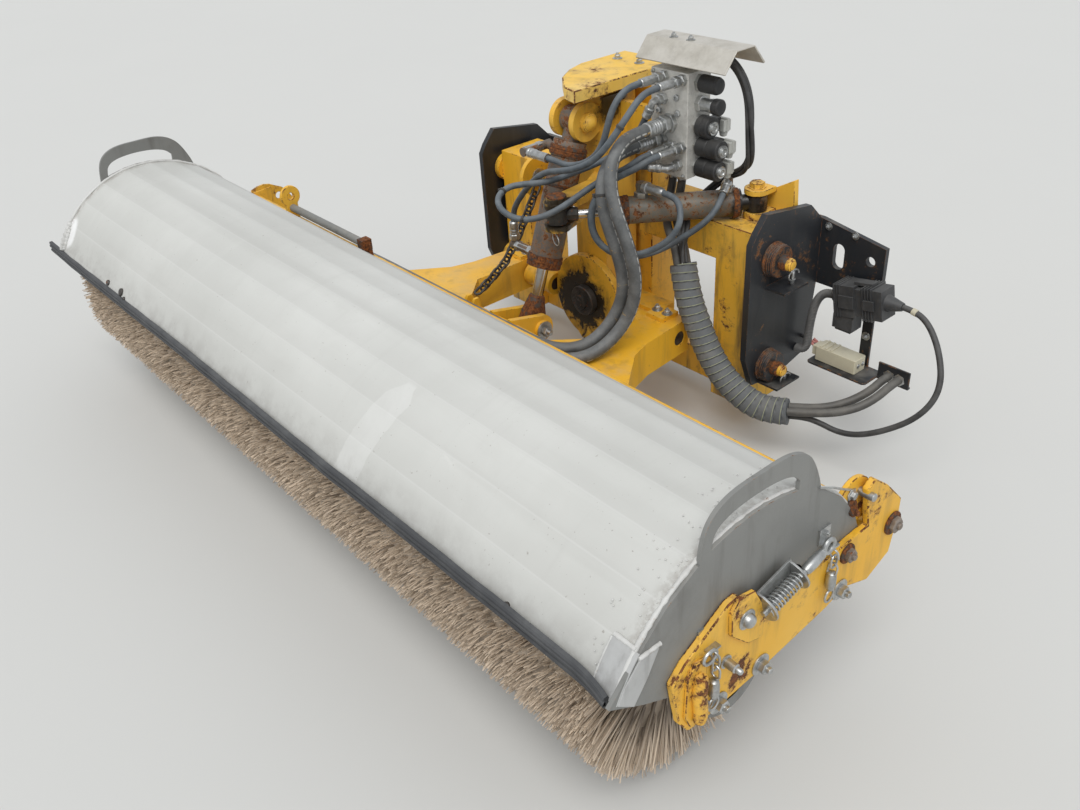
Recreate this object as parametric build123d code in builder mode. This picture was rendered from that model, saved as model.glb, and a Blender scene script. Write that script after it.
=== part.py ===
"""Truck-mounted hydraulic front broom with its slewing and lifting hitch.

Millimetres. +X is the right-hand end of the broom seen from above with the broom at the
bottom, -Y is forward, +Z is up. The origin is the centre of the four bolts that hold the two
bracket plates to the carrier vehicle, in the plane of the plates' rear faces.
"""
import os
from math import cos, hypot, pi, radians, sin, tan

from build123d import *

os.makedirs("parts", exist_ok=True)

# Heights above the road are turned into Z by this one value.
MOUNT_HEIGHT = 490.0
RUNNING_GAP = 0.4

# Brush, parked clear of the road, with its end rings splayed outwards
BRUSH_RADIUS = 268.0
BRUSH_Y = -1148.0
BRUSH_HEIGHT = 300.0
BRUSH_HALF_LENGTH = 1100.0
BRISTLE_SPLAY = 26.0
SPLAY_RING = 46.0
CORE_RADIUS = 85.0
CORE_OVERHANG = 12.0
SHAFT_RADIUS = 22.0

# Hood and its end plates
HOOD_Y = -1115.0
HOOD_HEIGHT = 300.0
HOOD_HALF_LENGTH = 1200.0
HOOD_RADIUS = 328.0
HOOD_SHEET = 4.0
HOOD_FACETS = 10
HOOD_REAR_ANGLE = 16.0
HOOD_FRONT_ANGLE = 154.5
END_PLATE = 8.0
HANDLE_Y = -1092.0
HANDLE_HALF_WIDTH = 148.0
HANDLE_RISE = 70.0
HANDLE_CORNER = 60.0
HANDLE_BAR = 34.0
SLOT_WIDTH = 28.0
SLOT_LENGTH = 200.0
SHAFT_OPENING = 60.0
SKIRT_THICKNESS = 10.0
SKIRT_HEIGHT = 46.0
SKIRT_OVERHANG = 96.0

# Broom frame
BEARING_PLATE = 14.0
BEARING_RING = 36.0
BEARING_RING_LENGTH = 35.0
MOTOR_RADIUS = 62.0
MOTOR_LENGTH = 112.0
MOTOR_PORT_RADIUS = 21.0
BEAM_GAP = 2.0
BEAM_DEPTH = 40.0
BEAM_HEIGHT = 135.0
BEAM_TOP = 415.0
LUG_X = -940.0
LUG_THICKNESS = 14.0
LUG_HEIGHT = 488.0
LUG_RADIUS = 33.0
LUG_HOLE = 11.0
ROD_HEIGHT = 450.0
ROD_RADIUS = 12.0
ROD_LENGTH = 440.0
YOKE_TOP = 335.0
YOKE_DEPTH = 97.0
YOKE_FRONT_HALF = 560.0
ARM_OUTER = 352.0
ARM_INNER = 258.0
ARM_REAR_Y = -308.0
CROSSBEAM_WIDTH = 99.0
SHAFT_CAP_RISE = 12.0

# Hitch axes
SLEW_Y = -255.0
LIFT_Y = -345.0
LIFT_HEIGHT = 288.0
LIFT_SHAFT_RADIUS = 20.0

# Swing post with the cross box that carries the lift shafts
POST_HALF_WIDTH = 60.0
POST_FRONT_Y = -325.0
POST_REAR_Y = -207.0
POST_BOTTOM = 165.0
CROSS_HEIGHT = 76.0
CROSS_FRONT_Y = POST_FRONT_Y
CARRIER_RADIUS = 34.0
CARRIER_LENGTH = 112.0
CARRIER_SIDE_GAP = 8.0
HINGE_PIN_RADIUS = 28.0
HINGE_PIN_DEPTH = 40.0
DISC_RADIUS = 132.0
DISC_THICKNESS = 25.0
DISC_DROP = 140.0
HUB_RADIUS = 44.0
HUB_LENGTH = 22.0
CHAIN_LUG_X = -176.0
CHAIN_LUG_Y = -371.0
CHAIN_LUG_HEIGHT = 624.0
CHAIN_LUG_RADIUS = 56.0

# Base frame
CAP_RISE = 103.0
CAP_THICKNESS = 32.0
COLUMN_HALF_WIDTH = 100.0
COLUMN_FRONT_Y = -185.0
FRAME_REAR_Y = -85.0
LEG_INNER = 376.0
LEG_OUTER = 500.0
LEG_FRONT_Y = -235.0
LEG_BOTTOM = 80.0
LOWER_BEAM_HEIGHT = 85.0
SHOULDER_DEPTH = 100.0
SHOULDER_TOP = 590.0
HINGE_LUG = 45.0
HINGE_LUG_RADIUS = 70.0

# Bracket plates
BRACKET_GAP = 20.0
BRACKET_PLATE = 18.0
BRACKET_FRONT_Y = -295.0
BRACKET_TOP = 655.0
FLANGE_THICKNESS = 15.0
FLANGE_INNER = 400.0
FLANGE_OUTER = 729.0
FLANGE_BOTTOM = 395.0
FLANGE_TOP = 577.0
FLANGE_TOP_OUTER = 544.0
BOLT_X = 460.0
BOLT_SPACING_Z = 100.0
BOLT_HOLE_RADIUS = 9.0
FLANGE_SLOT_LENGTH = 70.0
FLANGE_SLOT_WIDTH = 33.0
FLANGE_HOLE_RADIUS = 13.0
PIN_Y = -210.0
PIN_HEIGHTS = (228.0, 530.0)
PIN_RADIUS = 20.0
PIN_DEPTH = 90.0
PIN_TIP = 18.0
COLLAR_RADIUS = 42.0
COLLAR_LENGTH = 28.0
SHELF_DROPS = (50.0, 75.0)
SHELF_THICKNESS = 6.0
SHELF_REACH = 62.0
SHELF_WIDTH = 95.0

# Lift cylinder, in the broom's middle plane
LIFT_TOP_Y = -368.0
LIFT_TOP_HEIGHT = 815.0
LIFT_EYE_Y = -563.0
LIFT_EYE_HEIGHT = 290.0
LIFT_BARREL_RADIUS = 44.0
LIFT_ROD_RADIUS = 16.0
LIFT_ROD_SHOWN = 165.0
LIFT_CLEVIS = 84.0
EYE_RADIUS = 34.0
EYE_HALF_WIDTH = 24.0
EAR_GAP = 5.0
EAR_THICKNESS = 18.0
TOP_EAR_RADIUS = 50.0
LOWER_EAR_RADIUS = 40.0
CYLINDER_PIN_RADIUS = 17.0
BOSS_RADIUS = 26.0
BOSS_LENGTH = 9.0

# Slew cylinder, level
SLEW_CYLINDER_HEIGHT = 630.0
SLEW_ROD_X = 105.0
SLEW_ROD_Y = -536.0
SLEW_BASE_X = 423.0
SLEW_BASE_Y = -141.0
SLEW_BARREL_RADIUS = 35.0
SLEW_ROD_RADIUS = 12.5
SLEW_ROD_SHOWN = 152.0
SLEW_EYE_RADIUS = 28.0
SLEW_EYE_HALF_HEIGHT = 20.0
SLEW_EYE_GAP = 3.0
SLEW_LUG = 14.0
SLEW_ARM_RADIUS = 34.0
ANCHOR_PLATE = 18.0
ANCHOR_INNER_RISE = 41.0
ANCHOR_OUTER_RISE = 103.0

# Valve block on the swing post
BLOCK_X = 207.0
BLOCK_WIDTH = 120.0
BLOCK_FRONT_Y = -300.0
BLOCK_DEPTH = 82.0
BLOCK_BOTTOM = 708.0
BLOCK_HEIGHT = 258.0
MOUNT_PLATE = 22.0
MOUNT_PLATE_HEIGHT = 110.0
COIL_RADIUS = 25.0
COIL_LENGTH = 98.0
COVER_SHEET = 3.0
COVER_GAP = 64.0
COVER_LENGTH = 280.0

# Hoses and cables
THICK_HOSE = 32.0
THIN_HOSE = 16.0
FEED_HOSE = 22.0
SLEEVE = 72.0
CABLE = 15.0
CONDUIT = 21.0
PLUG_CABLE = 10.0
LOOM = 24.0

# Connector bracket on the right flange
STRAP_X = 710.0
STRAP_WIDTH = 30.0
STRAP_SHEET = 8.0
STRAP_TOP = 430.0
TRAY_INNER = 590.0
TRAY_OUTER = 770.0
TRAY_FRONT_Y = -104.0
TRAY_HEIGHT = 208.0
TRAY_SHEET = 6.0
COUPLER_PLATE_Y = -48.0
COUPLER_PLATE_OUTER = 860.0
COUPLER_PLATE_HEIGHT = 50.0
CONNECTOR_Y = -60.0


def z(height):
    """Turn a height above the road into Z."""
    return height - MOUNT_HEIGHT


def save(piece, name):
    """Label a finished piece and write it as its own STEP file."""
    piece.part.label = name
    export_step(piece.part, f"parts/{name}.step")
    print(name, round(piece.part.volume), len(piece.part.solids()))


def bar(plane, radius, length, mode=Mode.ADD):
    """Round bar or round hole from a plane's origin along its normal."""
    with BuildSketch(plane) as section:
        Circle(radius)
    extrude(section.sketch, amount=length, mode=mode)


def cross_plane(x, y, height):
    """Plane across X at a point, its local axes along Y and Z."""
    return Plane(origin=(x, y, z(height)), x_dir=(0, 1, 0), z_dir=(1, 0, 0))


def level_plane(x, y, height):
    """Level plane at a point."""
    return Plane(origin=(x, y, z(height)))


def front_plane(x, y, height):
    """Plane facing forward at a point, its local axes along X and Z."""
    return Plane(origin=(x, y, z(height)), x_dir=(1, 0, 0), z_dir=(0, -1, 0))


def plate(plane, outline, thickness):
    """Flat plate with a straight-sided outline."""
    with BuildSketch(plane) as section:
        with BuildLine():
            Polyline(*outline, close=True)
        make_face()
    extrude(section.sketch, amount=thickness)


PLATE_OUTER = HOOD_HALF_LENGTH + END_PLATE
FRAME_HALF_LENGTH = PLATE_OUTER + BEARING_PLATE
BRUSH_AXIS = Axis((0, BRUSH_Y, z(BRUSH_HEIGHT)), (1, 0, 0))

# Brush
with BuildPart() as brush_bristles:
    with BuildSketch(front_plane(0, BRUSH_Y, BRUSH_HEIGHT)):
        with BuildLine():
            tip = BRUSH_HALF_LENGTH + BRISTLE_SPLAY
            ring = BRUSH_HALF_LENGTH - SPLAY_RING
            Polyline(
                (-BRUSH_HALF_LENGTH, CORE_RADIUS), (-tip, BRUSH_RADIUS - BRISTLE_SPLAY / 2), (-ring, BRUSH_RADIUS),
                (ring, BRUSH_RADIUS), (tip, BRUSH_RADIUS - BRISTLE_SPLAY / 2), (BRUSH_HALF_LENGTH, CORE_RADIUS),
                close=True)
        make_face()
    revolve(axis=BRUSH_AXIS)
save(brush_bristles, "brush_bristles")

with BuildPart() as brush_core:
    core_end = BRUSH_HALF_LENGTH + CORE_OVERHANG
    bar(cross_plane(-core_end, BRUSH_Y, BRUSH_HEIGHT), CORE_RADIUS, 2 * core_end)
    for side in (-1, 1):
        bar(cross_plane(side * core_end, BRUSH_Y, BRUSH_HEIGHT), SHAFT_RADIUS,
            side * (PLATE_OUTER - core_end - RUNNING_GAP))
save(brush_core, "brush_core")


def hood_points(radius):
    """Corners of the folded hood section, from its rear edge over the top to its front edge."""
    step = (HOOD_FRONT_ANGLE - HOOD_REAR_ANGLE) / HOOD_FACETS
    angles = [radians(HOOD_REAR_ANGLE + step * i) for i in range(HOOD_FACETS + 1)]
    return [(HOOD_Y + radius * cos(a), z(HOOD_HEIGHT) + radius * sin(a)) for a in angles]


HOOD_OUTLINE = hood_points(HOOD_RADIUS)
HOOD_REAR, HOOD_FRONT = HOOD_OUTLINE[0], HOOD_OUTLINE[-1]

with BuildPart() as hood_shell:
    inner = reversed(hood_points(HOOD_RADIUS - HOOD_SHEET))
    plate(Plane.YZ.offset(-HOOD_HALF_LENGTH), (*HOOD_OUTLINE, *inner), 2 * HOOD_HALF_LENGTH)
save(hood_shell, "hood_shell")

# Lower edge of an end plate from its nose to its rear, as (y, z) steps from the hood's front corner;
# the left one has no nose, because the rubber skirt runs past it
END_PLATE_STEPS = ((-18, 1), (54, -44), (116, -76), (167, -84))
for side, name in ((1, "end_plate_right"), (-1, "end_plate_left")):
    with BuildPart() as end_plate:
        with BuildSketch(Plane.YZ.offset(HOOD_HALF_LENGTH if side > 0 else -PLATE_OUTER)):
            steps = END_PLATE_STEPS if side > 0 else ((0, 0), *END_PLATE_STEPS[1:])
            lower_edge = [(HOOD_FRONT[0] + dy, HOOD_FRONT[1] + dz) for dy, dz in steps]
            with BuildLine():
                Polyline(*HOOD_OUTLINE[:-1], *lower_edge, (HOOD_REAR[0], lower_edge[-1][1]), close=True)
            make_face()
            handle_top = z(HOOD_HEIGHT) + HOOD_RADIUS + HANDLE_RISE
            handle_height = HANDLE_RISE + HANDLE_CORNER
            with Locations((HANDLE_Y, handle_top - handle_height / 2)):
                RectangleRounded(2 * HANDLE_HALF_WIDTH, handle_height, HANDLE_CORNER)
            with Locations((HANDLE_Y, handle_top - HANDLE_BAR - SLOT_WIDTH / 2)):
                SlotOverall(SLOT_LENGTH, SLOT_WIDTH, mode=Mode.SUBTRACT)
            with Locations((BRUSH_Y, z(BRUSH_HEIGHT))):
                Circle(SHAFT_RADIUS + SHAFT_OPENING, mode=Mode.SUBTRACT)
        extrude(amount=END_PLATE)
    save(end_plate, name)

with BuildPart() as rubber_skirt:
    with BuildSketch(Plane.YZ.offset(-HOOD_HALF_LENGTH - SKIRT_OVERHANG)):
        with Locations((HOOD_FRONT[0] - SKIRT_THICKNESS / 2, HOOD_FRONT[1])):
            Rectangle(SKIRT_THICKNESS, SKIRT_HEIGHT)
    extrude(amount=2 * HOOD_HALF_LENGTH + SKIRT_OVERHANG)
save(rubber_skirt, "rubber_skirt")

# Bearing plates, (y, height above the road) round the outline; the rear lobe is on the right one
PLATE_FRONT = ((-1310, 407), (-1282, 437), (-1184, 495), (-1160, 497), (-1108, 427), (-875, 425))
PLATE_LOBE = ((-804, 428), (-820, 515), (-800, 530), (-754, 492))
PLATE_REAR = (
    (-700, 433), (-700, 390), (-714, 313), (-780, 284), (-855, 314), (-906, 299), (-1086, 278), (-1231, 270),
    (-1270, 275), (-1292, 310))
for side, name, outline in (
    (1, "bearing_plate_right", PLATE_FRONT + PLATE_LOBE + PLATE_REAR),
    (-1, "bearing_plate_left", PLATE_FRONT + PLATE_REAR),
):
    with BuildPart() as bearing_plate:
        plate(Plane.YZ.offset(side * PLATE_OUTER), [(y, z(height)) for y, height in outline], side * BEARING_PLATE)
        with BuildSketch(cross_plane(side * PLATE_OUTER, BRUSH_Y, BRUSH_HEIGHT)):
            Circle(SHAFT_RADIUS + BEARING_RING)
            Circle(SHAFT_RADIUS + RUNNING_GAP, mode=Mode.SUBTRACT)
        extrude(amount=-side * BEARING_RING_LENGTH)
    save(bearing_plate, name)

# Hydraulic motor on the outside of the left bearing plate, its two ports facing the rear
MOTOR_PORTS = (-1270.0, -1325.0)
MOTOR_PORT_Y = -1080.0
with BuildPart() as brush_motor:
    bar(cross_plane(-FRAME_HALF_LENGTH, BRUSH_Y, BRUSH_HEIGHT), MOTOR_RADIUS, -MOTOR_LENGTH)
    for x in MOTOR_PORTS:
        bar(front_plane(x, MOTOR_PORT_Y, BRUSH_HEIGHT), MOTOR_PORT_RADIUS, MOTOR_PORT_Y - BRUSH_Y)
save(brush_motor, "brush_motor")

BEAM_FRONT_Y = HOOD_Y + HOOD_RADIUS + BEAM_GAP
BEAM_REAR_Y = BEAM_FRONT_Y + BEAM_DEPTH
BEAM_MIDDLE_Y = (BEAM_FRONT_Y + BEAM_REAR_Y) / 2
with BuildPart() as rear_beam:
    with BuildSketch(cross_plane(-PLATE_OUTER, BEAM_MIDDLE_Y, BEAM_TOP - BEAM_HEIGHT / 2)):
        Rectangle(BEAM_DEPTH, BEAM_HEIGHT)
    extrude(amount=2 * PLATE_OUTER)
    with BuildSketch(cross_plane(LUG_X, BEAM_MIDDLE_Y, LUG_HEIGHT)):
        Circle(LUG_RADIUS)
        with Locations((0, (BEAM_TOP - LUG_HEIGHT) / 2)):
            Rectangle(BEAM_DEPTH, LUG_HEIGHT - BEAM_TOP)
        Circle(LUG_HOLE, mode=Mode.SUBTRACT)
    extrude(amount=LUG_THICKNESS)
save(rear_beam, "rear_beam")

with BuildPart() as hood_rod:
    bar(cross_plane(LUG_X + LUG_THICKNESS, BEAM_MIDDLE_Y, ROD_HEIGHT), ROD_RADIUS, ROD_LENGTH)
save(hood_rod, "hood_rod")

# Yoke: the left half is the mirror of the right; (x, y) from the front flare to the arm's tip
CROSSBEAM_REAR_Y = BEAM_REAR_Y + CROSSBEAM_WIDTH
YOKE_BOTTOM = YOKE_TOP - YOKE_DEPTH
RIGHT_HALF = (
    (YOKE_FRONT_HALF, BEAM_REAR_Y), (462.0, -640.0), (388.0, -545.0), (368.0, -480.0), (ARM_OUTER, ARM_REAR_Y),
    (ARM_INNER, ARM_REAR_Y), (ARM_INNER, -546.0), (166.0, CROSSBEAM_REAR_Y))
EAR_INNER = EYE_HALF_WIDTH + EAR_GAP
EAR_SEAT_Y = CROSSBEAM_REAR_Y - 20.0
SHAFT_CAP = (60.0, 62.0)
CHAIN_TABS = (-150.0, -118.0)
with BuildPart() as yoke:
    plate(Plane.XY.offset(z(YOKE_BOTTOM)), (*RIGHT_HALF, *[(-x, y) for x, y in reversed(RIGHT_HALF)]), YOKE_DEPTH)
    for side in (-1, 1):
        cap_x = side * (ARM_INNER + SHAFT_CAP[0] / 2 + 4.0)
        with BuildSketch(level_plane(cap_x, LIFT_Y, YOKE_TOP)):
            Rectangle(*SHAFT_CAP)
        extrude(amount=SHAFT_CAP_RISE)
        bar(cross_plane(side * (ARM_INNER - 1.0), LIFT_Y, LIFT_HEIGHT), LIFT_SHAFT_RADIUS + RUNNING_GAP,
            side * (ARM_OUTER - ARM_INNER + 25.0), Mode.SUBTRACT)
        ear = cross_plane(side * EAR_INNER, LIFT_EYE_Y, LIFT_EYE_HEIGHT)
        seat = EAR_SEAT_Y - LIFT_EYE_Y
        plate(ear, ((seat, YOKE_BOTTOM - LIFT_EYE_HEIGHT), (0, -LOWER_EAR_RADIUS), (0, LOWER_EAR_RADIUS),
                    (seat, YOKE_TOP - LIFT_EYE_HEIGHT + 20.0)), side * EAR_THICKNESS)
        bar(ear, LOWER_EAR_RADIUS, side * EAR_THICKNESS)
        bar(ear, BOSS_RADIUS, side * (EAR_THICKNESS + BOSS_LENGTH))
    for x in CHAIN_TABS:
        with BuildSketch(cross_plane(x, CROSSBEAM_REAR_Y, YOKE_TOP)):
            with BuildLine():
                Polyline((-28.0, -2.0), (-2.0, -2.0), (-2.0, 22.0), (-8.0, 32.0), (-22.0, 32.0), (-28.0, 22.0),
                         close=True)
            make_face()
        extrude(amount=10.0)
save(yoke, "yoke")

# Swing post with the cross box, the lift shaft tubes, the top ears and the slew arm
CAP_TOP = LIFT_TOP_HEIGHT + CAP_RISE
CAP_BOTTOM = CAP_TOP - CAP_THICKNESS
POST_TOP = CAP_BOTTOM - 16.0
CARRIER_OUTER = ARM_INNER - CARRIER_SIDE_GAP
CARRIER_INNER = CARRIER_OUTER - CARRIER_LENGTH
TOP_EAR_NECK = 30.0
ARM_TOP = SLEW_EYE_HALF_HEIGHT + SLEW_EYE_GAP
CHAIN_ARM = 14.0
with BuildPart() as swing_post:
    with BuildSketch(level_plane(0, (POST_FRONT_Y + POST_REAR_Y) / 2, POST_BOTTOM)):
        Rectangle(2 * POST_HALF_WIDTH, POST_REAR_Y - POST_FRONT_Y)
    extrude(amount=POST_TOP - POST_BOTTOM)
    with BuildSketch(level_plane(0, (CROSS_FRONT_Y + SLEW_Y) / 2, LIFT_HEIGHT - CROSS_HEIGHT / 2)):
        Rectangle(2 * CARRIER_OUTER, SLEW_Y - CROSS_FRONT_Y)
    extrude(amount=CROSS_HEIGHT)
    for side in (-1, 1):
        carrier = cross_plane(side * CARRIER_INNER, LIFT_Y, LIFT_HEIGHT)
        bar(carrier, CARRIER_RADIUS, side * CARRIER_LENGTH)
        bar(carrier, LIFT_SHAFT_RADIUS + RUNNING_GAP, side * (CARRIER_LENGTH + 1.0), Mode.SUBTRACT)
        ear = cross_plane(side * EAR_INNER, LIFT_TOP_Y, LIFT_TOP_HEIGHT)
        seat = POST_FRONT_Y + 10.0 - LIFT_TOP_Y
        plate(ear, ((0, -TOP_EAR_RADIUS), (seat, -TOP_EAR_NECK), (seat, TOP_EAR_NECK), (0, TOP_EAR_RADIUS)),
              side * EAR_THICKNESS)
        bar(ear, TOP_EAR_RADIUS, side * EAR_THICKNESS)
        bar(ear, BOSS_RADIUS, side * (EAR_THICKNESS + BOSS_LENGTH))
    bar(cross_plane(-EAR_INNER, LIFT_TOP_Y, LIFT_TOP_HEIGHT), CYLINDER_PIN_RADIUS, 2 * EAR_INNER)
    for start in (ARM_TOP, -ARM_TOP - SLEW_LUG):
        arm = level_plane(0, 0, SLEW_CYLINDER_HEIGHT + start)
        plate(arm, (
            (0, POST_FRONT_Y + 5.0), (POST_HALF_WIDTH, POST_FRONT_Y + 40.0),
            (SLEW_ROD_X + SLEW_ARM_RADIUS, SLEW_ROD_Y), (SLEW_ROD_X - SLEW_ARM_RADIUS, SLEW_ROD_Y),
            (POST_HALF_WIDTH - 5.0, POST_FRONT_Y - 60.0), (20.0, POST_FRONT_Y)), SLEW_LUG)
        bar(level_plane(SLEW_ROD_X, SLEW_ROD_Y, SLEW_CYLINDER_HEIGHT + start), SLEW_ARM_RADIUS, SLEW_LUG)
    bar(level_plane(SLEW_ROD_X, SLEW_ROD_Y, SLEW_CYLINDER_HEIGHT + ARM_TOP + SLEW_LUG), BOSS_RADIUS, 12.0)
    bar(level_plane(0, SLEW_Y, POST_BOTTOM), HINGE_PIN_RADIUS, -HINGE_PIN_DEPTH)
    bar(level_plane(0, SLEW_Y, POST_TOP), HINGE_PIN_RADIUS, CAP_BOTTOM - POST_TOP + CAP_THICKNESS / 2)
    chain_lug = cross_plane(CHAIN_LUG_X, CHAIN_LUG_Y, CHAIN_LUG_HEIGHT)
    bar(chain_lug, CHAIN_LUG_RADIUS, CHAIN_ARM)
    bar(chain_lug, CHAIN_LUG_RADIUS / 3, -BOSS_LENGTH)
    reach = POST_FRONT_Y - CHAIN_LUG_Y
    with BuildSketch(level_plane(0, 0, CHAIN_LUG_HEIGHT - CHAIN_LUG_RADIUS / 2)):
        with BuildLine():
            Polyline(
                (CHAIN_LUG_X + 2.0, CHAIN_LUG_Y - CHAIN_ARM), (CHAIN_LUG_X + 2.0, CHAIN_LUG_Y + CHAIN_LUG_RADIUS / 2),
                (-POST_HALF_WIDTH + 2.0, POST_FRONT_Y + reach + 20.0), (-POST_HALF_WIDTH + 2.0, POST_FRONT_Y + 4.0),
                close=True)
        make_face()
    extrude(amount=CHAIN_ARM)
save(swing_post, "swing_post")

with BuildPart() as lift_shaft:
    for side in (-1, 1):
        start = CARRIER_INNER + 4.0
        bar(cross_plane(side * start, LIFT_Y, LIFT_HEIGHT), LIFT_SHAFT_RADIUS, side * (ARM_OUTER - start))
save(lift_shaft, "lift_shaft")

with BuildPart() as pivot_plate:
    disc = front_plane(0, POST_FRONT_Y, LIFT_HEIGHT)
    bar(disc, DISC_RADIUS, DISC_THICKNESS)
    plate(disc, ((-0.95 * DISC_RADIUS, -0.3 * DISC_RADIUS), (-30.0, -DISC_DROP), (30.0, -DISC_DROP),
                 (0.95 * DISC_RADIUS, -0.3 * DISC_RADIUS)), DISC_THICKNESS)
save(pivot_plate, "pivot_plate")

with BuildPart() as pivot_hub:
    bar(front_plane(0, POST_FRONT_Y - DISC_THICKNESS, LIFT_HEIGHT), HUB_RADIUS, HUB_LENGTH)
save(pivot_hub, "pivot_hub")

# Base frame: the column with its lower beam and hinge lug, and the two legs with their shoulders
with BuildPart() as base_column:
    with BuildSketch(level_plane(0, (COLUMN_FRONT_Y + FRAME_REAR_Y) / 2, LEG_BOTTOM)):
        Rectangle(2 * LEG_INNER, FRAME_REAR_Y - COLUMN_FRONT_Y)
    extrude(amount=LOWER_BEAM_HEIGHT)
    with BuildSketch(level_plane(0, (COLUMN_FRONT_Y + FRAME_REAR_Y) / 2, LEG_BOTTOM + LOWER_BEAM_HEIGHT)):
        Rectangle(2 * COLUMN_HALF_WIDTH, FRAME_REAR_Y - COLUMN_FRONT_Y)
    extrude(amount=CAP_BOTTOM - LEG_BOTTOM - LOWER_BEAM_HEIGHT)
    lug = level_plane(0, SLEW_Y, POST_BOTTOM - 10.0)
    with BuildSketch(lug):
        Circle(HINGE_LUG_RADIUS)
        with Locations((0, (COLUMN_FRONT_Y - SLEW_Y) / 2)):
            Rectangle(2 * HINGE_LUG_RADIUS, COLUMN_FRONT_Y - SLEW_Y)
    extrude(amount=-HINGE_LUG)
    bar(lug.offset(1.0), HINGE_PIN_RADIUS + RUNNING_GAP, -HINGE_PIN_DEPTH - 1.0, Mode.SUBTRACT)
save(base_column, "base_column")

for side, name in ((1, "leg_right"), (-1, "leg_left")):
    with BuildPart() as leg:
        with BuildSketch(level_plane(side * (LEG_INNER + LEG_OUTER) / 2, (LEG_FRONT_Y + FRAME_REAR_Y) / 2, LEG_BOTTOM)):
            Rectangle(LEG_OUTER - LEG_INNER, FRAME_REAR_Y - LEG_FRONT_Y)
        extrude(amount=SHOULDER_TOP - LEG_BOTTOM)
        with BuildSketch(level_plane(side * (COLUMN_HALF_WIDTH + LEG_INNER) / 2, (LEG_FRONT_Y + FRAME_REAR_Y) / 2,
                                     SHOULDER_TOP)):
            Rectangle(LEG_INNER - COLUMN_HALF_WIDTH, FRAME_REAR_Y - LEG_FRONT_Y)
        extrude(amount=-SHOULDER_DEPTH)
        for height in PIN_HEIGHTS:
            pin_face = cross_plane(side * LEG_OUTER, PIN_Y, height)
            bar(pin_face, COLLAR_RADIUS, side * BRACKET_GAP)
            bar(pin_face.offset(side * (BRACKET_GAP + 1.0)), PIN_RADIUS + RUNNING_GAP,
                -side * (PIN_DEPTH + BRACKET_GAP + 1.0), Mode.SUBTRACT)
    save(leg, name)

# Cap plate seen from above: a straight right-hand edge and a hand-cut nose on the left
CAP_OUTLINE = (
    (92.0, FRAME_REAR_Y), (88.0, -446.0), (36.0, -433.0), (-37.0, -374.0), (-78.0, -312.0), (-100.0, -250.0),
    (-100.0, FRAME_REAR_Y))
with BuildPart() as cap_plate:
    plate(Plane.XY.offset(z(CAP_BOTTOM)), CAP_OUTLINE, CAP_THICKNESS)
    bar(level_plane(0, SLEW_Y, CAP_BOTTOM - 1.0), HINGE_PIN_RADIUS + RUNNING_GAP, CAP_THICKNESS / 2 + 5.0, Mode.SUBTRACT)
save(cap_plate, "cap_plate")

# Slew anchor on the right leg: the base lugs, the pin and a sloping back plate
with BuildPart() as slew_anchor:
    upper = SLEW_CYLINDER_HEIGHT + ARM_TOP
    lower = SLEW_CYLINDER_HEIGHT - ARM_TOP
    for start, thickness in ((upper, SLEW_LUG), (lower, SHOULDER_TOP - lower)):
        with BuildSketch(level_plane(SLEW_BASE_X, SLEW_BASE_Y, start)):
            Circle(SLEW_EYE_RADIUS + 4.0)
            with Locations((0, (FRAME_REAR_Y - ANCHOR_PLATE - SLEW_BASE_Y) / 2)):
                Rectangle(2 * SLEW_EYE_RADIUS + 8.0, FRAME_REAR_Y - ANCHOR_PLATE - SLEW_BASE_Y)
        extrude(amount=thickness)
    bar(level_plane(SLEW_BASE_X, SLEW_BASE_Y, lower), CYLINDER_PIN_RADIUS, upper - lower)
    bar(level_plane(SLEW_BASE_X, SLEW_BASE_Y, upper + SLEW_LUG), CYLINDER_PIN_RADIUS, 13.0)
    back = front_plane(SLEW_BASE_X, FRAME_REAR_Y, SHOULDER_TOP)
    plate(back, ((-46.0, 0), (LEG_OUTER - SLEW_BASE_X, 0), (89.0, 20.0), (84.0, ANCHOR_OUTER_RISE),
                 (-26.0, ANCHOR_INNER_RISE), (-46.0, ANCHOR_INNER_RISE)), ANCHOR_PLATE)
save(slew_anchor, "slew_anchor")

# Bracket plates, (y, height) round the side plate
BRACKET_INNER = LEG_OUTER + BRACKET_GAP
BRACKET_OUTER = BRACKET_INNER + BRACKET_PLATE
SIDE_OUTLINE = (
    (BRACKET_FRONT_Y, 270.0), (-262.0, 183.0), (-160.0, 170.0), (-40.0, 200.0), (-FLANGE_THICKNESS, FLANGE_BOTTOM),
    (-FLANGE_THICKNESS, FLANGE_TOP), (-66.0, 627.0), (-242.0, BRACKET_TOP), (-279.0, BRACKET_TOP - 42.0),
    (BRACKET_FRONT_Y, BRACKET_TOP - 68.0))
FLANGE_OUTLINE = (
    (FLANGE_INNER, FLANGE_BOTTOM), (FLANGE_OUTER, FLANGE_BOTTOM), (FLANGE_OUTER, FLANGE_TOP_OUTER),
    (BRACKET_OUTER, FLANGE_TOP), (FLANGE_INNER, FLANGE_TOP))
FLANGE_SLOT = (597.0, 486.0)
FLANGE_HOLE = (690.0, 500.0)
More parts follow.
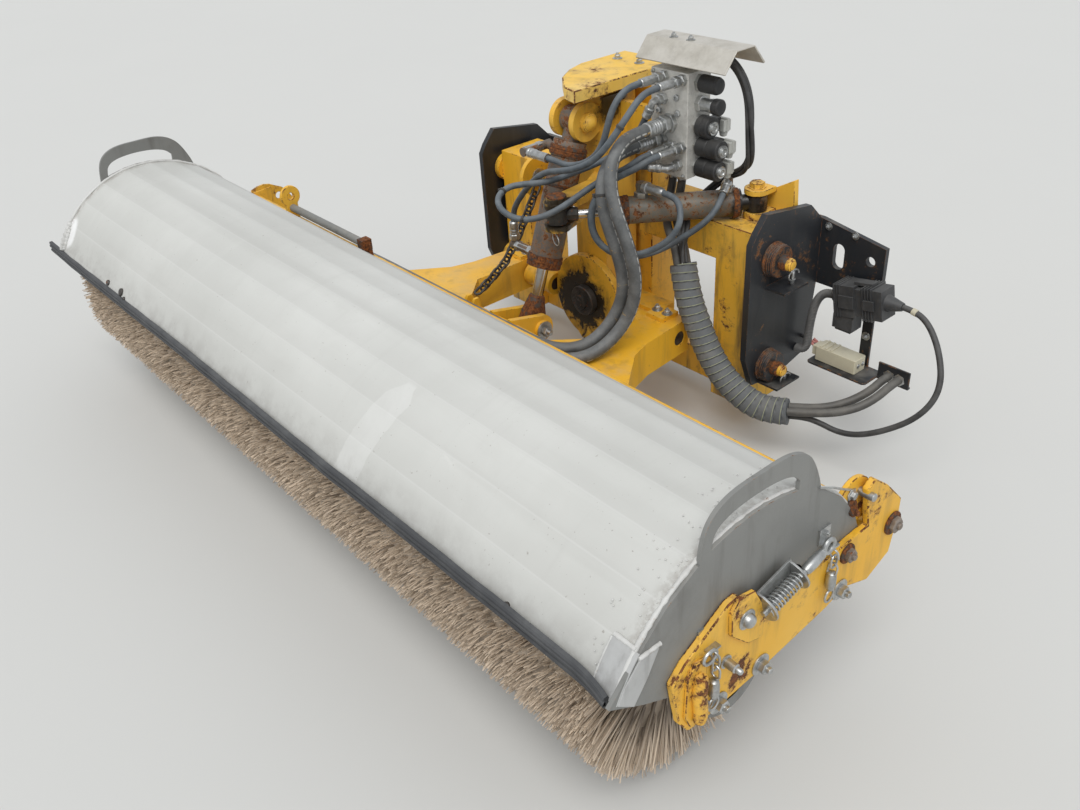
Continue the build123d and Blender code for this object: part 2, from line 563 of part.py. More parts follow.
for side, name in ((1, "bracket_right"), (-1, "bracket_left")):
    with BuildPart() as bracket:
        plate(Plane.YZ.offset(side * BRACKET_INNER), [(y, z(height)) for y, height in SIDE_OUTLINE],
              side * BRACKET_PLATE)
        with BuildSketch(Plane.XZ):
            with BuildLine():
                Polyline(*[(side * x, z(height)) for x, height in FLANGE_OUTLINE], close=True)
            make_face()
            with Locations((side * BOLT_X, -BOLT_SPACING_Z / 2), (side * BOLT_X, BOLT_SPACING_Z / 2)):
                Circle(BOLT_HOLE_RADIUS, mode=Mode.SUBTRACT)
            with Locations((side * FLANGE_SLOT[0], z(FLANGE_SLOT[1]))):
                SlotOverall(FLANGE_SLOT_LENGTH, FLANGE_SLOT_WIDTH, rotation=90, mode=Mode.SUBTRACT)
            with Locations((side * FLANGE_HOLE[0], z(FLANGE_HOLE[1]))):
                Circle(FLANGE_HOLE_RADIUS, mode=Mode.SUBTRACT)
        extrude(amount=FLANGE_THICKNESS)
        for height, drop in zip(PIN_HEIGHTS, SHELF_DROPS):
            pin_face = cross_plane(side * BRACKET_INNER, PIN_Y, height)
            bar(pin_face, COLLAR_RADIUS, side * (BRACKET_PLATE + COLLAR_LENGTH))
            bar(pin_face.offset(-side), PIN_RADIUS + RUNNING_GAP, side * (BRACKET_PLATE + COLLAR_LENGTH + 2.0),
                Mode.SUBTRACT)
            shelf = level_plane(side * (BRACKET_OUTER + SHELF_REACH / 2 - 2.0), PIN_Y + 22.0, height - drop)
            with BuildSketch(shelf):
                Rectangle(SHELF_REACH + 4.0, SHELF_WIDTH)
            extrude(amount=SHELF_THICKNESS)
    save(bracket, name)

with BuildPart() as bracket_pins:
    pin_length = PIN_DEPTH + BRACKET_OUTER + COLLAR_LENGTH - LEG_OUTER + PIN_TIP
    for side in (-1, 1):
        for height in PIN_HEIGHTS:
            bar(cross_plane(side * (LEG_OUTER - PIN_DEPTH), PIN_Y, height), PIN_RADIUS, side * pin_length)
save(bracket_pins, "bracket_pins")

# Lift cylinder: distances run down its axis from the top pin
lift_dy = LIFT_EYE_Y - LIFT_TOP_Y
lift_dz = LIFT_EYE_HEIGHT - LIFT_TOP_HEIGHT
lift_length = hypot(lift_dy, lift_dz)
LIFT_AXIS = Plane(origin=(0, LIFT_TOP_Y, z(LIFT_TOP_HEIGHT)), x_dir=(1, 0, 0), z_dir=(0, lift_dy, lift_dz))
BARREL_START = TOP_EAR_RADIUS + 6.0
BARREL_END = lift_length - LIFT_ROD_SHOWN
PORT_RADIUS = 12.0
UPPER_PORT = (-85.0, 738.0)
LOWER_PORT_X = -128.0
LOWER_PORT_HEIGHT = 468.0


def lift_axis_y(height):
    """Y of the lift cylinder's axis at a height above the road."""
    return LIFT_TOP_Y + lift_dy * (height - LIFT_TOP_HEIGHT) / lift_dz


with BuildPart() as lift_barrel:
    bar(cross_plane(-EYE_HALF_WIDTH, LIFT_TOP_Y, LIFT_TOP_HEIGHT), EYE_RADIUS, 2 * EYE_HALF_WIDTH)
    bar(LIFT_AXIS.offset(EYE_RADIUS - 12.0), EYE_HALF_WIDTH, BARREL_START - EYE_RADIUS + 14.0)
    bar(LIFT_AXIS.offset(BARREL_START), LIFT_BARREL_RADIUS, BARREL_END - BARREL_START)
    bar(LIFT_AXIS.offset(BARREL_START + 16.0), LIFT_BARREL_RADIUS + 4.0, 24.0)
    bar(LIFT_AXIS.offset(BARREL_END - 14.0), LIFT_BARREL_RADIUS + 2.0, 14.0)
    upper_y = lift_axis_y(UPPER_PORT[1])
    bar(cross_plane(0, upper_y, UPPER_PORT[1]), PORT_RADIUS, UPPER_PORT[0])
    bar(front_plane(UPPER_PORT[0], upper_y + PORT_RADIUS, UPPER_PORT[1]), PORT_RADIUS, 98.0)
    bar(cross_plane(UPPER_PORT[0], upper_y - 74.0, UPPER_PORT[1]), PORT_RADIUS - 1.0, 88.0)
    lower_y = lift_axis_y(LOWER_PORT_HEIGHT)
    bar(cross_plane(0, lower_y, LOWER_PORT_HEIGHT), PORT_RADIUS, LOWER_PORT_X - PORT_RADIUS)
    bar(level_plane(LOWER_PORT_X, lower_y, LOWER_PORT_HEIGHT), PORT_RADIUS - 1.0, 68.0)
    bar(LIFT_AXIS.offset(EYE_RADIUS + 40.0), LIFT_ROD_RADIUS + RUNNING_GAP, lift_length, Mode.SUBTRACT)
    bar(cross_plane(-EYE_HALF_WIDTH - 1.0, LIFT_TOP_Y, LIFT_TOP_HEIGHT), CYLINDER_PIN_RADIUS + RUNNING_GAP,
        2 * EYE_HALF_WIDTH + 2.0, Mode.SUBTRACT)
save(lift_barrel, "lift_barrel")

with BuildPart() as lift_rod:
    rod_start = EYE_RADIUS + 120.0
    bar(LIFT_AXIS.offset(rod_start), LIFT_ROD_RADIUS, lift_length - LIFT_CLEVIS + 5.0 - rod_start)
    with BuildSketch(LIFT_AXIS.offset(lift_length - LIFT_CLEVIS)):
        Circle(LIFT_ROD_RADIUS + 5.0)
    with BuildSketch(LIFT_AXIS.offset(lift_length - EYE_RADIUS / 2)):
        Rectangle(2 * EYE_HALF_WIDTH, 1.6 * EYE_RADIUS)
    loft()
    bar(cross_plane(-EYE_HALF_WIDTH, LIFT_EYE_Y, LIFT_EYE_HEIGHT), EYE_RADIUS, 2 * EYE_HALF_WIDTH)
save(lift_rod, "lift_rod")

# Slew cylinder: distances run along its axis from the base pin
slew_dx = SLEW_ROD_X - SLEW_BASE_X
slew_dy = SLEW_ROD_Y - SLEW_BASE_Y
slew_length = hypot(slew_dx, slew_dy)
SLEW_AXIS = Plane(
    origin=(SLEW_BASE_X, SLEW_BASE_Y, z(SLEW_CYLINDER_HEIGHT)), x_dir=(0, 0, 1), z_dir=(slew_dx, slew_dy, 0))
SLEW_BARREL_START = SLEW_EYE_RADIUS + 14.0
SLEW_BARREL_END = slew_length - SLEW_ROD_SHOWN
ROD_PORT = 293.0
BASE_PORT = 74.0
ROD_PORT_HEIGHT = 692.0
BASE_PORT_HEIGHT = 690.0


def slew_point(distance):
    """X and Y of a point on the slew cylinder's axis."""
    return (SLEW_BASE_X + slew_dx * distance / slew_length, SLEW_BASE_Y + slew_dy * distance / slew_length)


with BuildPart() as slew_barrel:
    eye_bottom = level_plane(SLEW_BASE_X, SLEW_BASE_Y, SLEW_CYLINDER_HEIGHT - SLEW_EYE_HALF_HEIGHT)
    bar(eye_bottom, SLEW_EYE_RADIUS, 2 * SLEW_EYE_HALF_HEIGHT)
    bar(SLEW_AXIS.offset(SLEW_EYE_RADIUS - 10.0), SLEW_EYE_HALF_HEIGHT, 40.0)
    bar(SLEW_AXIS.offset(SLEW_BARREL_START), SLEW_BARREL_RADIUS, SLEW_BARREL_END - SLEW_BARREL_START)
    rod_port = slew_point(ROD_PORT)
    base_port = slew_point(BASE_PORT)
    bar(level_plane(*rod_port, SLEW_CYLINDER_HEIGHT + 25.0), PORT_RADIUS, ROD_PORT_HEIGHT - SLEW_CYLINDER_HEIGHT - 15.0)
    bar(cross_plane(rod_port[0] - PORT_RADIUS + 2.0, rod_port[1], ROD_PORT_HEIGHT), PORT_RADIUS - 2.0, 78.0)
    bar(level_plane(*base_port, SLEW_CYLINDER_HEIGHT + 25.0), PORT_RADIUS,
        BASE_PORT_HEIGHT - SLEW_CYLINDER_HEIGHT - 19.0)
    bar(Plane(origin=(*base_port, z(BASE_PORT_HEIGHT)), z_dir=(0.35, -0.82, -0.45)), PORT_RADIUS - 2.0, 46.0)
    bar(SLEW_AXIS.offset(SLEW_EYE_RADIUS + 34.0), SLEW_ROD_RADIUS + RUNNING_GAP, slew_length, Mode.SUBTRACT)
    bar(eye_bottom.offset(-1.0), CYLINDER_PIN_RADIUS + RUNNING_GAP, 2 * SLEW_EYE_HALF_HEIGHT + 2.0, Mode.SUBTRACT)
save(slew_barrel, "slew_barrel")

with BuildPart() as slew_rod:
    rod_start = SLEW_EYE_RADIUS + 135.0
    bar(SLEW_AXIS.offset(rod_start), SLEW_ROD_RADIUS, slew_length - rod_start)
    bar(SLEW_AXIS.offset(slew_length - 62.0), SLEW_EYE_HALF_HEIGHT - 1.0, 50.0)
    bar(level_plane(SLEW_ROD_X, SLEW_ROD_Y, SLEW_CYLINDER_HEIGHT - SLEW_EYE_HALF_HEIGHT), SLEW_EYE_RADIUS,
        2 * SLEW_EYE_HALF_HEIGHT)
save(slew_rod, "slew_rod")

# Valve block, hung from the post by a plate, with its solenoid coils and its rain cover
BLOCK_MIDDLE_Y = BLOCK_FRONT_Y + BLOCK_DEPTH / 2
BLOCK_TOP = BLOCK_BOTTOM + BLOCK_HEIGHT
BLOCK_SIDE = BLOCK_X + BLOCK_WIDTH
with BuildPart() as valve_mount:
    with BuildSketch(level_plane((POST_HALF_WIDTH + BLOCK_X) / 2, SLEW_Y + 4.0, BLOCK_BOTTOM + 32.0)):
        Rectangle(BLOCK_X - POST_HALF_WIDTH, MOUNT_PLATE)
    extrude(amount=MOUNT_PLATE_HEIGHT)
save(valve_mount, "valve_mount")

with BuildPart() as valve_block:
    with BuildSketch(level_plane(BLOCK_X + BLOCK_WIDTH / 2, BLOCK_MIDDLE_Y, BLOCK_BOTTOM)):
        Rectangle(BLOCK_WIDTH, BLOCK_DEPTH)
    extrude(amount=BLOCK_HEIGHT)
save(valve_block, "valve_block")

# Coils from the top down: (drop below the block's top, share of the full radius, share of the full length)
COILS = ((28.0, 1.0, 0.85), (77.0, 0.8, 0.5), (130.0, 1.1, 0.55), (180.0, 1.0, 0.9), (232.0, 1.0, 0.85))
with BuildPart() as valve_coils:
    for drop, girth, reach in COILS:
        bar(cross_plane(BLOCK_SIDE, BLOCK_MIDDLE_Y, BLOCK_TOP - drop), girth * COIL_RADIUS, reach * COIL_LENGTH)
save(valve_coils, "valve_coils")

COVER_TOP = BLOCK_TOP + COVER_GAP
# Cover section, (y, z) from the block's middle at the cover's top: outer face front to rear
COVER_SECTION = ((-54.0, -45.0), (-14.0, 0.0), (49.0, 0.0), (89.0, -45.0))
with BuildPart() as valve_cover:
    inner_face = [(y * (1 - COVER_SHEET / 60.0), height - COVER_SHEET) for y, height in COVER_SECTION]
    plate(cross_plane(BLOCK_X - 40.0, BLOCK_MIDDLE_Y, COVER_TOP), (*COVER_SECTION, *reversed(inner_face)), COVER_LENGTH)
    with BuildSketch(level_plane(BLOCK_X + 50.0, BLOCK_MIDDLE_Y + 15.0, BLOCK_TOP)):
        Rectangle(30.0, 40.0)
    extrude(amount=COVER_GAP - COVER_SHEET)
save(valve_cover, "valve_cover")

# Straight hose ends on the block's front face: (x, height, hose diameter)
STRAIGHT_ENDS = (
    (253.0, 951.0, THIN_HOSE), (311.0, 950.0, THIN_HOSE), (272.0, 842.0, THICK_HOSE), (240.0, 797.0, THICK_HOSE),
    (284.0, 786.0, THIN_HOSE), (312.0, 788.0, THIN_HOSE))
# Elbows on the block's front face: (x, height, direction out of the elbow, length beyond the elbow)
ELBOW_ENDS = ((250.0, 897.0, (-0.42, -0.12, -0.9), 44.0), (302.0, 742.0, (-0.78, -0.62, 0.1), 49.0))
END_LENGTH = 85.0
NUT_LENGTH = 22.0
with BuildPart() as hose_ends:
    for x, height, hose in STRAIGHT_ENDS:
        bar(front_plane(x, BLOCK_FRONT_Y, height), 0.62 * hose + 4.0, NUT_LENGTH)
        bar(front_plane(x, BLOCK_FRONT_Y, height), 0.5 * hose + 3.0, END_LENGTH)
    for x, height, way, reach in ELBOW_ENDS:
        bar(front_plane(x, BLOCK_FRONT_Y, height), PORT_RADIUS, 48.0)
        bar(Plane(origin=(x, BLOCK_FRONT_Y - 38.0, z(height)), z_dir=way), PORT_RADIUS - 2.0, reach)
save(hose_ends, "hose_ends")

# Strap, tray and coupler plate under the right flange, and the two connectors on them
with BuildPart() as connector_bracket:
    with BuildSketch(front_plane(STRAP_X, -FLANGE_THICKNESS, (STRAP_TOP + TRAY_HEIGHT) / 2)):
        Rectangle(STRAP_WIDTH, STRAP_TOP - TRAY_HEIGHT)
    extrude(amount=STRAP_SHEET)
    tray_rear_y = -FLANGE_THICKNESS - STRAP_SHEET / 2
    with BuildSketch(level_plane((TRAY_INNER + TRAY_OUTER) / 2, (TRAY_FRONT_Y + tray_rear_y) / 2, TRAY_HEIGHT)):
        RectangleRounded(TRAY_OUTER - TRAY_INNER, tray_rear_y - TRAY_FRONT_Y, 2 * TRAY_SHEET)
    extrude(amount=TRAY_SHEET)
    plate_width = COUPLER_PLATE_OUTER - STRAP_X
    with BuildSketch(level_plane(STRAP_X + plate_width / 2, COUPLER_PLATE_Y + TRAY_SHEET, TRAY_HEIGHT)):
        Rectangle(plate_width, 2 * TRAY_SHEET)
    extrude(amount=TRAY_SHEET)
    with BuildSketch(front_plane(COUPLER_PLATE_OUTER - 45.0, COUPLER_PLATE_Y + TRAY_SHEET,
                                 TRAY_HEIGHT + COUPLER_PLATE_HEIGHT / 2)):
        Rectangle(90.0, COUPLER_PLATE_HEIGHT)
    extrude(amount=TRAY_SHEET)
save(connector_bracket, "connector_bracket")

with BuildPart() as loom_connector:
    shell = Plane(origin=(644.0, CONNECTOR_Y, z(408.0)), x_dir=(0, 1, 0), z_dir=(0.985, 0, 0.174))
    for start, length, depth, height in ((0, 62.0, 62.0, 84.0), (62.0, 18.0, 52.0, 70.0), (80.0, 58.0, 58.0, 78.0)):
        with BuildSketch(shell.offset(start)):
            Rectangle(depth, height)
        extrude(amount=length)
    bar(cross_plane(630.0, CONNECTOR_Y, 405.0), CONDUIT / 2 + 5.0, 24.0)
    with BuildSketch(cross_plane(772.0, CONNECTOR_Y, 432.0)):
        Circle(24.0)
    with BuildSketch(cross_plane(820.0, CONNECTOR_Y, 436.0)):
        Circle(CABLE / 2 + 3.0)
    loft()
    with BuildSketch(level_plane(STRAP_X, -FLANGE_THICKNESS - STRAP_SHEET, 402.0)):
        with Locations((0, -6.0)):
            Rectangle(STRAP_WIDTH, 12.0)
    extrude(amount=26.0)
save(loom_connector, "loom_connector")

with BuildPart() as pale_connector:
    with BuildSketch(level_plane(664.0, CONNECTOR_Y, TRAY_HEIGHT + TRAY_SHEET)):
        RectangleRounded(124.0, 48.0, 5.0)
    extrude(amount=40.0)
save(pale_connector, "pale_connector")

# Cords as (diameter, route), each route a list of (x, y, height above the road)
CORDS = {
    "motor_hose_a": (THICK_HOSE, [
        (272, -385, 842), (272, -430, 842), (274, -470, 833), (281, -504, 809), (292, -526, 773), (305, -534, 728),
        (324, -533, 680), (346, -529, 628), (364, -524, 572), (370, -522, 516), (365, -528, 462), (354, -546, 415),
        (345, -582, 380), (338, -628, 360), (322, -674, 353), (286, -708, 352), (232, -726, 352), (160, -727, 352),
        (60, -728, 352), (-100, -727, 352), (-300, -727, 354), (-500, -728, 354), (-600, -728, 353),
        (-740, -726, 340), (-880, -722, 321), (-1010, -716, 294), (-1110, -712, 272), (-1188, -722, 258), (-1240, -762, 252),
        (-1266, -830, 258), (-1271, -918, 280), (-1270, -1006, 300), (-1270, -1079.7, 300)]),
    "motor_hose_b": (THICK_HOSE, [
        (240, -385, 797), (240, -427, 797), (242, -467, 790), (247, -501, 768), (256, -522, 730), (269, -528, 683),
        (288, -527, 634), (308, -523, 584), (323, -520, 532), (328, -524, 480), (321, -541, 430), (310, -572, 390),
        (298, -612, 364), (276, -652, 354), (238, -680, 352), (184, -692, 352), (110, -693, 352), (0, -694, 352),
        (-160, -693, 352), (-360, -693, 353), (-560, -694, 354), (-760, -692, 345), (-930, -688, 333),
        (-1060, -683, 318), (-1170, -682, 303), (-1256, -702, 293), (-1308, -762, 288), (-1326, -844, 288),
        (-1326, -928, 293), (-1325, -1008, 300), (-1325, -1079.7, 300)]),
    "lift_hose_top": (THIN_HOSE, [
        (253, -385, 951), (253, -420, 951), (251, -453, 935), (248, -475, 906), (245, -487, 870), (236, -493, 832),
        (214, -497, 798), (176, -497, 772), (130, -493, 754), (84, -483, 742), (42, -470.6, 738), (3, -470.6, 738)]),
    "lift_hose_low": (THIN_HOSE, [
        (311, -385, 950), (311, -420, 950), (313, -453, 938), (310, -480, 912), (298, -502, 879), (276, -516, 842),
        (244, -523, 806), (202, -526, 778), (153, -526, 757), (100, -524, 741), (47, -513, 724), (0, -505, 698),
        (-42, -501, 664), (-78, -500, 628), (-108, -499, 593), (-126, -497, 562), (-128, -497, 537)]),
    "loop_hose": (THIN_HOSE, [
        (231.4, -343.3, 857.1), (219, -347, 830.5), (203, -358, 798), (182, -380, 772), (154, -410, 751), (122, -444, 733),
        (86, -481, 714), (50, -503, 698), (14, -522, 688), (-20, -541, 683), (-42, -572, 679), (-38, -608, 670),
        (-12, -634, 658), (28, -642, 645), (70, -632, 638), (108, -610, 643), (138, -580, 658), (160, -546, 678),
        (188, -496, 712), (208, -466, 730), (234, -448, 746), (258, -436, 761), (275, -421, 777), (284, -405, 786),
        (284, -385, 786)]),
    "slew_hose_rod": (THIN_HOSE, [
        (312, -385, 788), (312, -406, 788), (305, -427, 780), (289, -444, 766), (266, -457, 752), (243, -470, 737),
        (223, -486, 716), (209, -501, 688), (203, -511, 654), (205, -513, 618), (218, -508, 584), (242, -494, 560),
        (274, -474, 549), (308, -455, 554), (342, -436, 570), (372, -420, 594), (392, -409, 620), (398, -399, 646),
        (389, -387, 670), (368, -375, 687), (338, -369.2, 692), (307.4, -369.2, 692)]),
    "slew_hose_base": (THIN_HOSE, [
        (263.5, -368.6, 746.9), (244, -384, 749), (222, -402, 744), (203, -424, 729), (190, -448, 706),
        (183, -470, 676), (181, -486, 642), (184, -490, 606), (194, -483, 571), (213, -468, 542), (239, -445, 526),
        (268, -416, 523), (296, -384, 532), (322, -356, 549), (347, -333, 571), (371, -315, 592), (391, -298, 614),
        (402, -280, 636), (402.6, -259.5, 656.7), (393.0, -236.9, 669.0)]),
    "feed_hose_a": (FEED_HOSE, [
        (229, -240, 708), (229, -240, 670), (229, -251, 634), (236, -270, 602), (253, -290, 576), (280, -306, 554),
        (308.5, -315.9, 528.7), (326.4, -324.9, 488.4)]),
    "feed_hose_b": (FEED_HOSE, [
        (260, -240, 708), (260, -240, 672), (258, -247, 638), (260, -258, 605), (270, -270, 578), (291, -282, 556),
        (321.2, -295.3, 529.8), (339.1, -304.3, 489.5)]),
    "coil_loom": (LOOM, [
        (300, -232, 966), (300, -232, 983), (310, -229, 999), (334, -225, 1007), (368, -221, 1000), (400, -218, 979),
        (425, -216, 948), (441, -215, 908), (448, -215, 862), (450, -213, 814), (445, -205, 772), (428, -190, 738),
        (398, -174, 713), (362, -168, 696), (330, -179, 672), (306, -200, 642), (291, -222, 617), (286, -243, 600),
        (296, -263, 585), (320, -286, 571), (330.6, -315.9, 538.5), (348.4, -324.9, 498.5)]),
    "hose_sleeve": (SLEEVE, [
        (338, -318, 492), (370, -334, 420), (404, -331, 346), (440, -325, 272), (486, -315, 208), (548, -300, 162),
        (605, -280, 143), (655, -255, 150)]),
    "supply_hose_a": (FEED_HOSE, [
        (649.2, -244.5, 157), (684.3, -226.9, 161.9), (720, -206, 168), (752, -180, 179), (780, -148, 196),
        (798, -114, 214), (803, -81, 228), (803, -48.3, 228)]),
    "loom_cable": (CABLE, [
        (656.6, -254.2, 136.1), (692.1, -236.4, 141.1), (730, -222, 134), (772, -213, 124), (816, -206, 130),
        (860, -196, 150), (902, -182, 178), (940, -166, 210), (966, -149, 246), (978, -132, 284), (973, -115, 320),
        (955, -98, 354), (930, -82, 388), (896, -68, 420), (858, -60, 436), (820.3, -60, 436)]),
    "conduit": (CONDUIT, [
        (630, -60, 405), (608, -60, 405), (588, -62, 391), (576, -65, 364), (572, -69, 332), (571, -73, 300),
        (572, -77, 268), (572, -80, 240), (557, -82, 225), (538.3, -82, 225)]),
    "plug_cable": (PLUG_CABLE, [(602, -62, 243), (582, -62, 243), (560, -55, 249), (538.3, -55, 249)]),
    "supply_hose_b": (FEED_HOSE, [
        (659.6, -266.1, 156.9), (695.1, -248.3, 161.9), (734, -226, 167), (772, -200, 176), (806, -168, 192),
        (826, -130, 212), (832, -88, 228), (832, -48.3, 228)]),
}


def arc_radii(route):
    """Arc radius at each inner point of a route: 0.45 of the shorter run over the tangent of half the turn."""
    points = [Vector(*point) for point in route]
    radii = []
    for before, point, after in zip(points, points[1:], points[2:]):
        half_turn = (180.0 - (before - point).get_angle(after - point)) / 2
        radii.append(0.45 * min((before - point).length, (after - point).length) / tan(radians(half_turn)))
    return radii


for name, (diameter, heights) in CORDS.items():
    route = [(x, y, z(height)) for x, y, height in heights]
    radii = arc_radii(route)
    with BuildPart() as cord:
        with BuildLine():
            path = FilletPolyline(*route, radius=radii)
        with BuildSketch(Plane(origin=route[0], z_dir=Vector(*route[1]) - Vector(*route[0]))):
            Circle(diameter / 2)
        sweep(path=path)
    tube = path.length * pi * diameter ** 2 / 4
    print(f"{name}: length {path.length:.0f}, least radius {min(radii):.0f}, volume {cord.part.volume / tube:.4f}")
    save(cord, name)
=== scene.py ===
import logging
import random
from dataclasses import dataclass, replace
from enum import Enum
from math import copysign, cos, radians, sin, tau
from typing import Callable, ClassVar, Sequence

import bmesh
import bpy
from mathutils import Matrix, Vector


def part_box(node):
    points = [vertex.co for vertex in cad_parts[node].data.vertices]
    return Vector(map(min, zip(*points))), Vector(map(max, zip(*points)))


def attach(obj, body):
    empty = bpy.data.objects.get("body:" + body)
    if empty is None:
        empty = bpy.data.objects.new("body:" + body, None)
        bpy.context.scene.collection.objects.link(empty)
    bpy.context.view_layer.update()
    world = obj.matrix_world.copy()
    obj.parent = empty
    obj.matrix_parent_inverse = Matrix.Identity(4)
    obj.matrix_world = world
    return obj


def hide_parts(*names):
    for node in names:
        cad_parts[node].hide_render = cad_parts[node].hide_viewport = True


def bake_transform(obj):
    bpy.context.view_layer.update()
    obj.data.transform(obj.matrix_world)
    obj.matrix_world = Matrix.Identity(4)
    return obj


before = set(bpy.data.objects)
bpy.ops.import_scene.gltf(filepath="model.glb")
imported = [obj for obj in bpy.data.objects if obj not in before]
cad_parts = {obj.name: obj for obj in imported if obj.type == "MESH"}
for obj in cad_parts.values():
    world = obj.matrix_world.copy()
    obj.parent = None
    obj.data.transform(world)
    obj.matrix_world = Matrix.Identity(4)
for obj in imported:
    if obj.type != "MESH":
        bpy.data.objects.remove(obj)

LOG = logging.getLogger("road_broom")
ROAD = -0.49
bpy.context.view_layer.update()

Colour = tuple[float, float, float]
Outline = Sequence[tuple[float, float]]

RIGHT, REARWARD, UP = Vector((1, 0, 0)), Vector((0, 1, 0)), Vector((0, 0, 1))
SIDES = (-1, 1)

RUST_DARK: Colour = (0.055, 0.02, 0.009)
RUST_BRIGHT: Colour = (0.25, 0.085, 0.022)
RUST_STAIN: Colour = (0.33, 0.15, 0.045)
GRIME: Colour = (0.07, 0.06, 0.05)
DUST: Colour = (0.4, 0.37, 0.32)
GREASE_AND_SHADE_BLACK: Colour = (0.012, 0.011, 0.01)
GREASE_AND_SHADE_RIM: Colour = (0.075, 0.038, 0.016)


def at(x: float, y: float, height: float) -> Vector:
    """Turn millimetres and a height above the road into a point of the frame."""
    return Vector((x / 1000, y / 1000, height / 1000 + ROAD))


def add_object(name: str, data: bpy.types.ID) -> bpy.types.Object:
    """Put a mesh, a curve, a lamp or a camera in the scene."""
    made = bpy.data.objects.new(name, data)
    bpy.context.scene.collection.objects.link(made)
    return made


def operators(operation: str) -> tuple[Callable, Callable]:
    """Make the method of an operator and its reflected form; each adds one Math node."""

    def plain(self: "Wire", other: "Wire | float") -> "Wire":
        """With this wire first."""
        return self.board.maths(operation, self, other)

    def reflected(self: "Wire", other: float) -> "Wire":
        """With the number first."""
        return self.board.maths(operation, other, self)

    return plain, reflected


class Wire:
    """A socket of a material's nodes that takes part in Python expressions."""

    __add__, __radd__ = operators("ADD")
    __sub__, __rsub__ = operators("SUBTRACT")
    __mul__, __rmul__ = operators("MULTIPLY")
    __truediv__, __rtruediv__ = operators("DIVIDE")
    __mod__, __rmod__ = operators("FLOORED_MODULO")

    def __init__(self, board: "Board", socket: bpy.types.NodeSocket) -> None:
        """Hold the socket and the board that it is on."""
        self.board = board
        self.socket = socket

    def __abs__(self) -> "Wire":
        """Distance from nought."""
        return self.board.maths("ABSOLUTE", self, 0.0)


class Board:
    """The nodes of one material."""

    def __init__(self, name: str) -> None:
        """Start an empty material."""
        self.material = bpy.data.materials.new(name)
        self.material.use_nodes = True
        self.tree = self.material.node_tree
        self.tree.nodes.clear()
        self.place = self.node("TexCoord", output="Object")

    def node(self, kind: str, settings: dict | None = None, inputs: dict | None = None,
             output: int | str = 0) -> Wire:
        """Add a node.

        Args:
            kind: the node's type without its ShaderNode prefix.
            settings: the node's own options, set before its sockets.
            inputs: a value or a wire for each named or numbered socket.
            output: the name or number of the socket that is returned.

        Returns:
            The output as a wire.
        """
        made = self.tree.nodes.new("ShaderNode" + kind)
        for key, value in (settings or {}).items():
            setattr(made, key, value)
        for key, value in (inputs or {}).items():
            socket = made.inputs[key]
            if isinstance(value, Wire):
                self.tree.links.new(value.socket, socket)
            elif socket.type == "RGBA":
                socket.default_value = (*value, 1.0)
            else:
                socket.default_value = value
        return Wire(self, made.outputs[output])

    def maths(self, operation: str, first: Wire | float, second: Wire | float) -> Wire:
        """Add one Math node."""
        return self.node("Math", {"operation": operation}, {0: first, 1: second})

    def vector(self, operation: str, second: Sequence[float], output: int | str = 0) -> Wire:
        """Work on the place in the object's own space."""
        return self.node("VectorMath", {"operation": operation}, {0: self.place, 1: second}, output)

    def noise(self, scale: float, detail: float = 5.0, roughness: float = 0.6,
              stretch: Sequence[float] = (1, 1, 1), warp: float = 0.0) -> Wire:
        """Noise in the object's own space, stretched along its axes."""
        return self.node("TexNoise", None, {
            "Vector": self.vector("MULTIPLY", stretch), "Scale": scale, "Detail": detail,
            "Roughness": roughness, "Distortion": warp}, "Fac")

    def mask(self, value: Wire, low: float, high: float) -> Wire:
        """A soft step from 0 at low to 1 at high."""
        return self.node("MapRange", {"interpolation_type": "SMOOTHSTEP"}, {
            "Value": value, "From Min": low, "From Max": high}, "Result")

    def mix(self, share: Wire | float, first: Wire | Colour, second: Wire | Colour) -> Wire:
        """Mix two colours."""
        return self.node("Mix", {"data_type": "RGBA"}, {0: share, 6: first, 7: second}, 2)

    def layers(self, colour: Wire | Colour, *tints: tuple[Wire, Wire | Colour]) -> Wire:
        """Lay tints over a colour, each with its share, the lowest first."""
        for share, tint in tints:
            colour = self.mix(share, colour, tint)
        return colour

    def coordinate(self, axis: str) -> Wire:
        """X, Y or Z in the object's own space."""
        return self.node("SeparateXYZ", None, {0: self.place}, axis)

    def near(self, point: Sequence[float], inner: float, outer: float) -> Wire:
        """1 within the inner distance from a point, 0 beyond the outer one, in metres."""
        return 1 - self.mask(self.distance(point), inner, outer)

    def distance(self, point: Sequence[float]) -> Wire:
        """Distance from a point, given in millimetres and a height above the road."""
        return self.vector("DISTANCE", tuple(at(*point)), "Value")

    def upward(self) -> Wire:
        """How far the surface faces up."""
        return self.node("SeparateXYZ", None, {0: self.node("NewGeometry", output="Normal")}, "Z")

    def carried(self, name: str) -> Wire:
        """A number that the mesh carries at each point."""
        return self.node("Attribute", {"attribute_name": name}, None, "Fac")

    def surface(self, colour: Wire | Colour, roughness: Wire | float, height: Wire | None = None,
                depth: float = 0.001, strength: float = 0.5,
                metallic: Wire | float = 0.0) -> bpy.types.Material:
        """Finish the material with its shader.

        Args:
            colour: base colour.
            roughness: surface roughness.
            height: relief for the bump.
            depth: the relief's full depth in metres.
            strength: how strongly the relief shows.
            metallic: share of bare metal.

        Returns:
            The material.
        """
        sockets = {"Base Color": colour, "Roughness": roughness, "Metallic": metallic}
        if height is not None:
            relief = {"Strength": strength, "Distance": depth, "Height": height}
            sockets["Normal"] = self.node("Bump", None, relief, "Normal")
        shader = self.node("BsdfPrincipled", None, sockets)
        end = self.tree.nodes.new("ShaderNodeOutputMaterial")
        self.tree.links.new(shader.socket, end.inputs["Surface"])
        return self.material


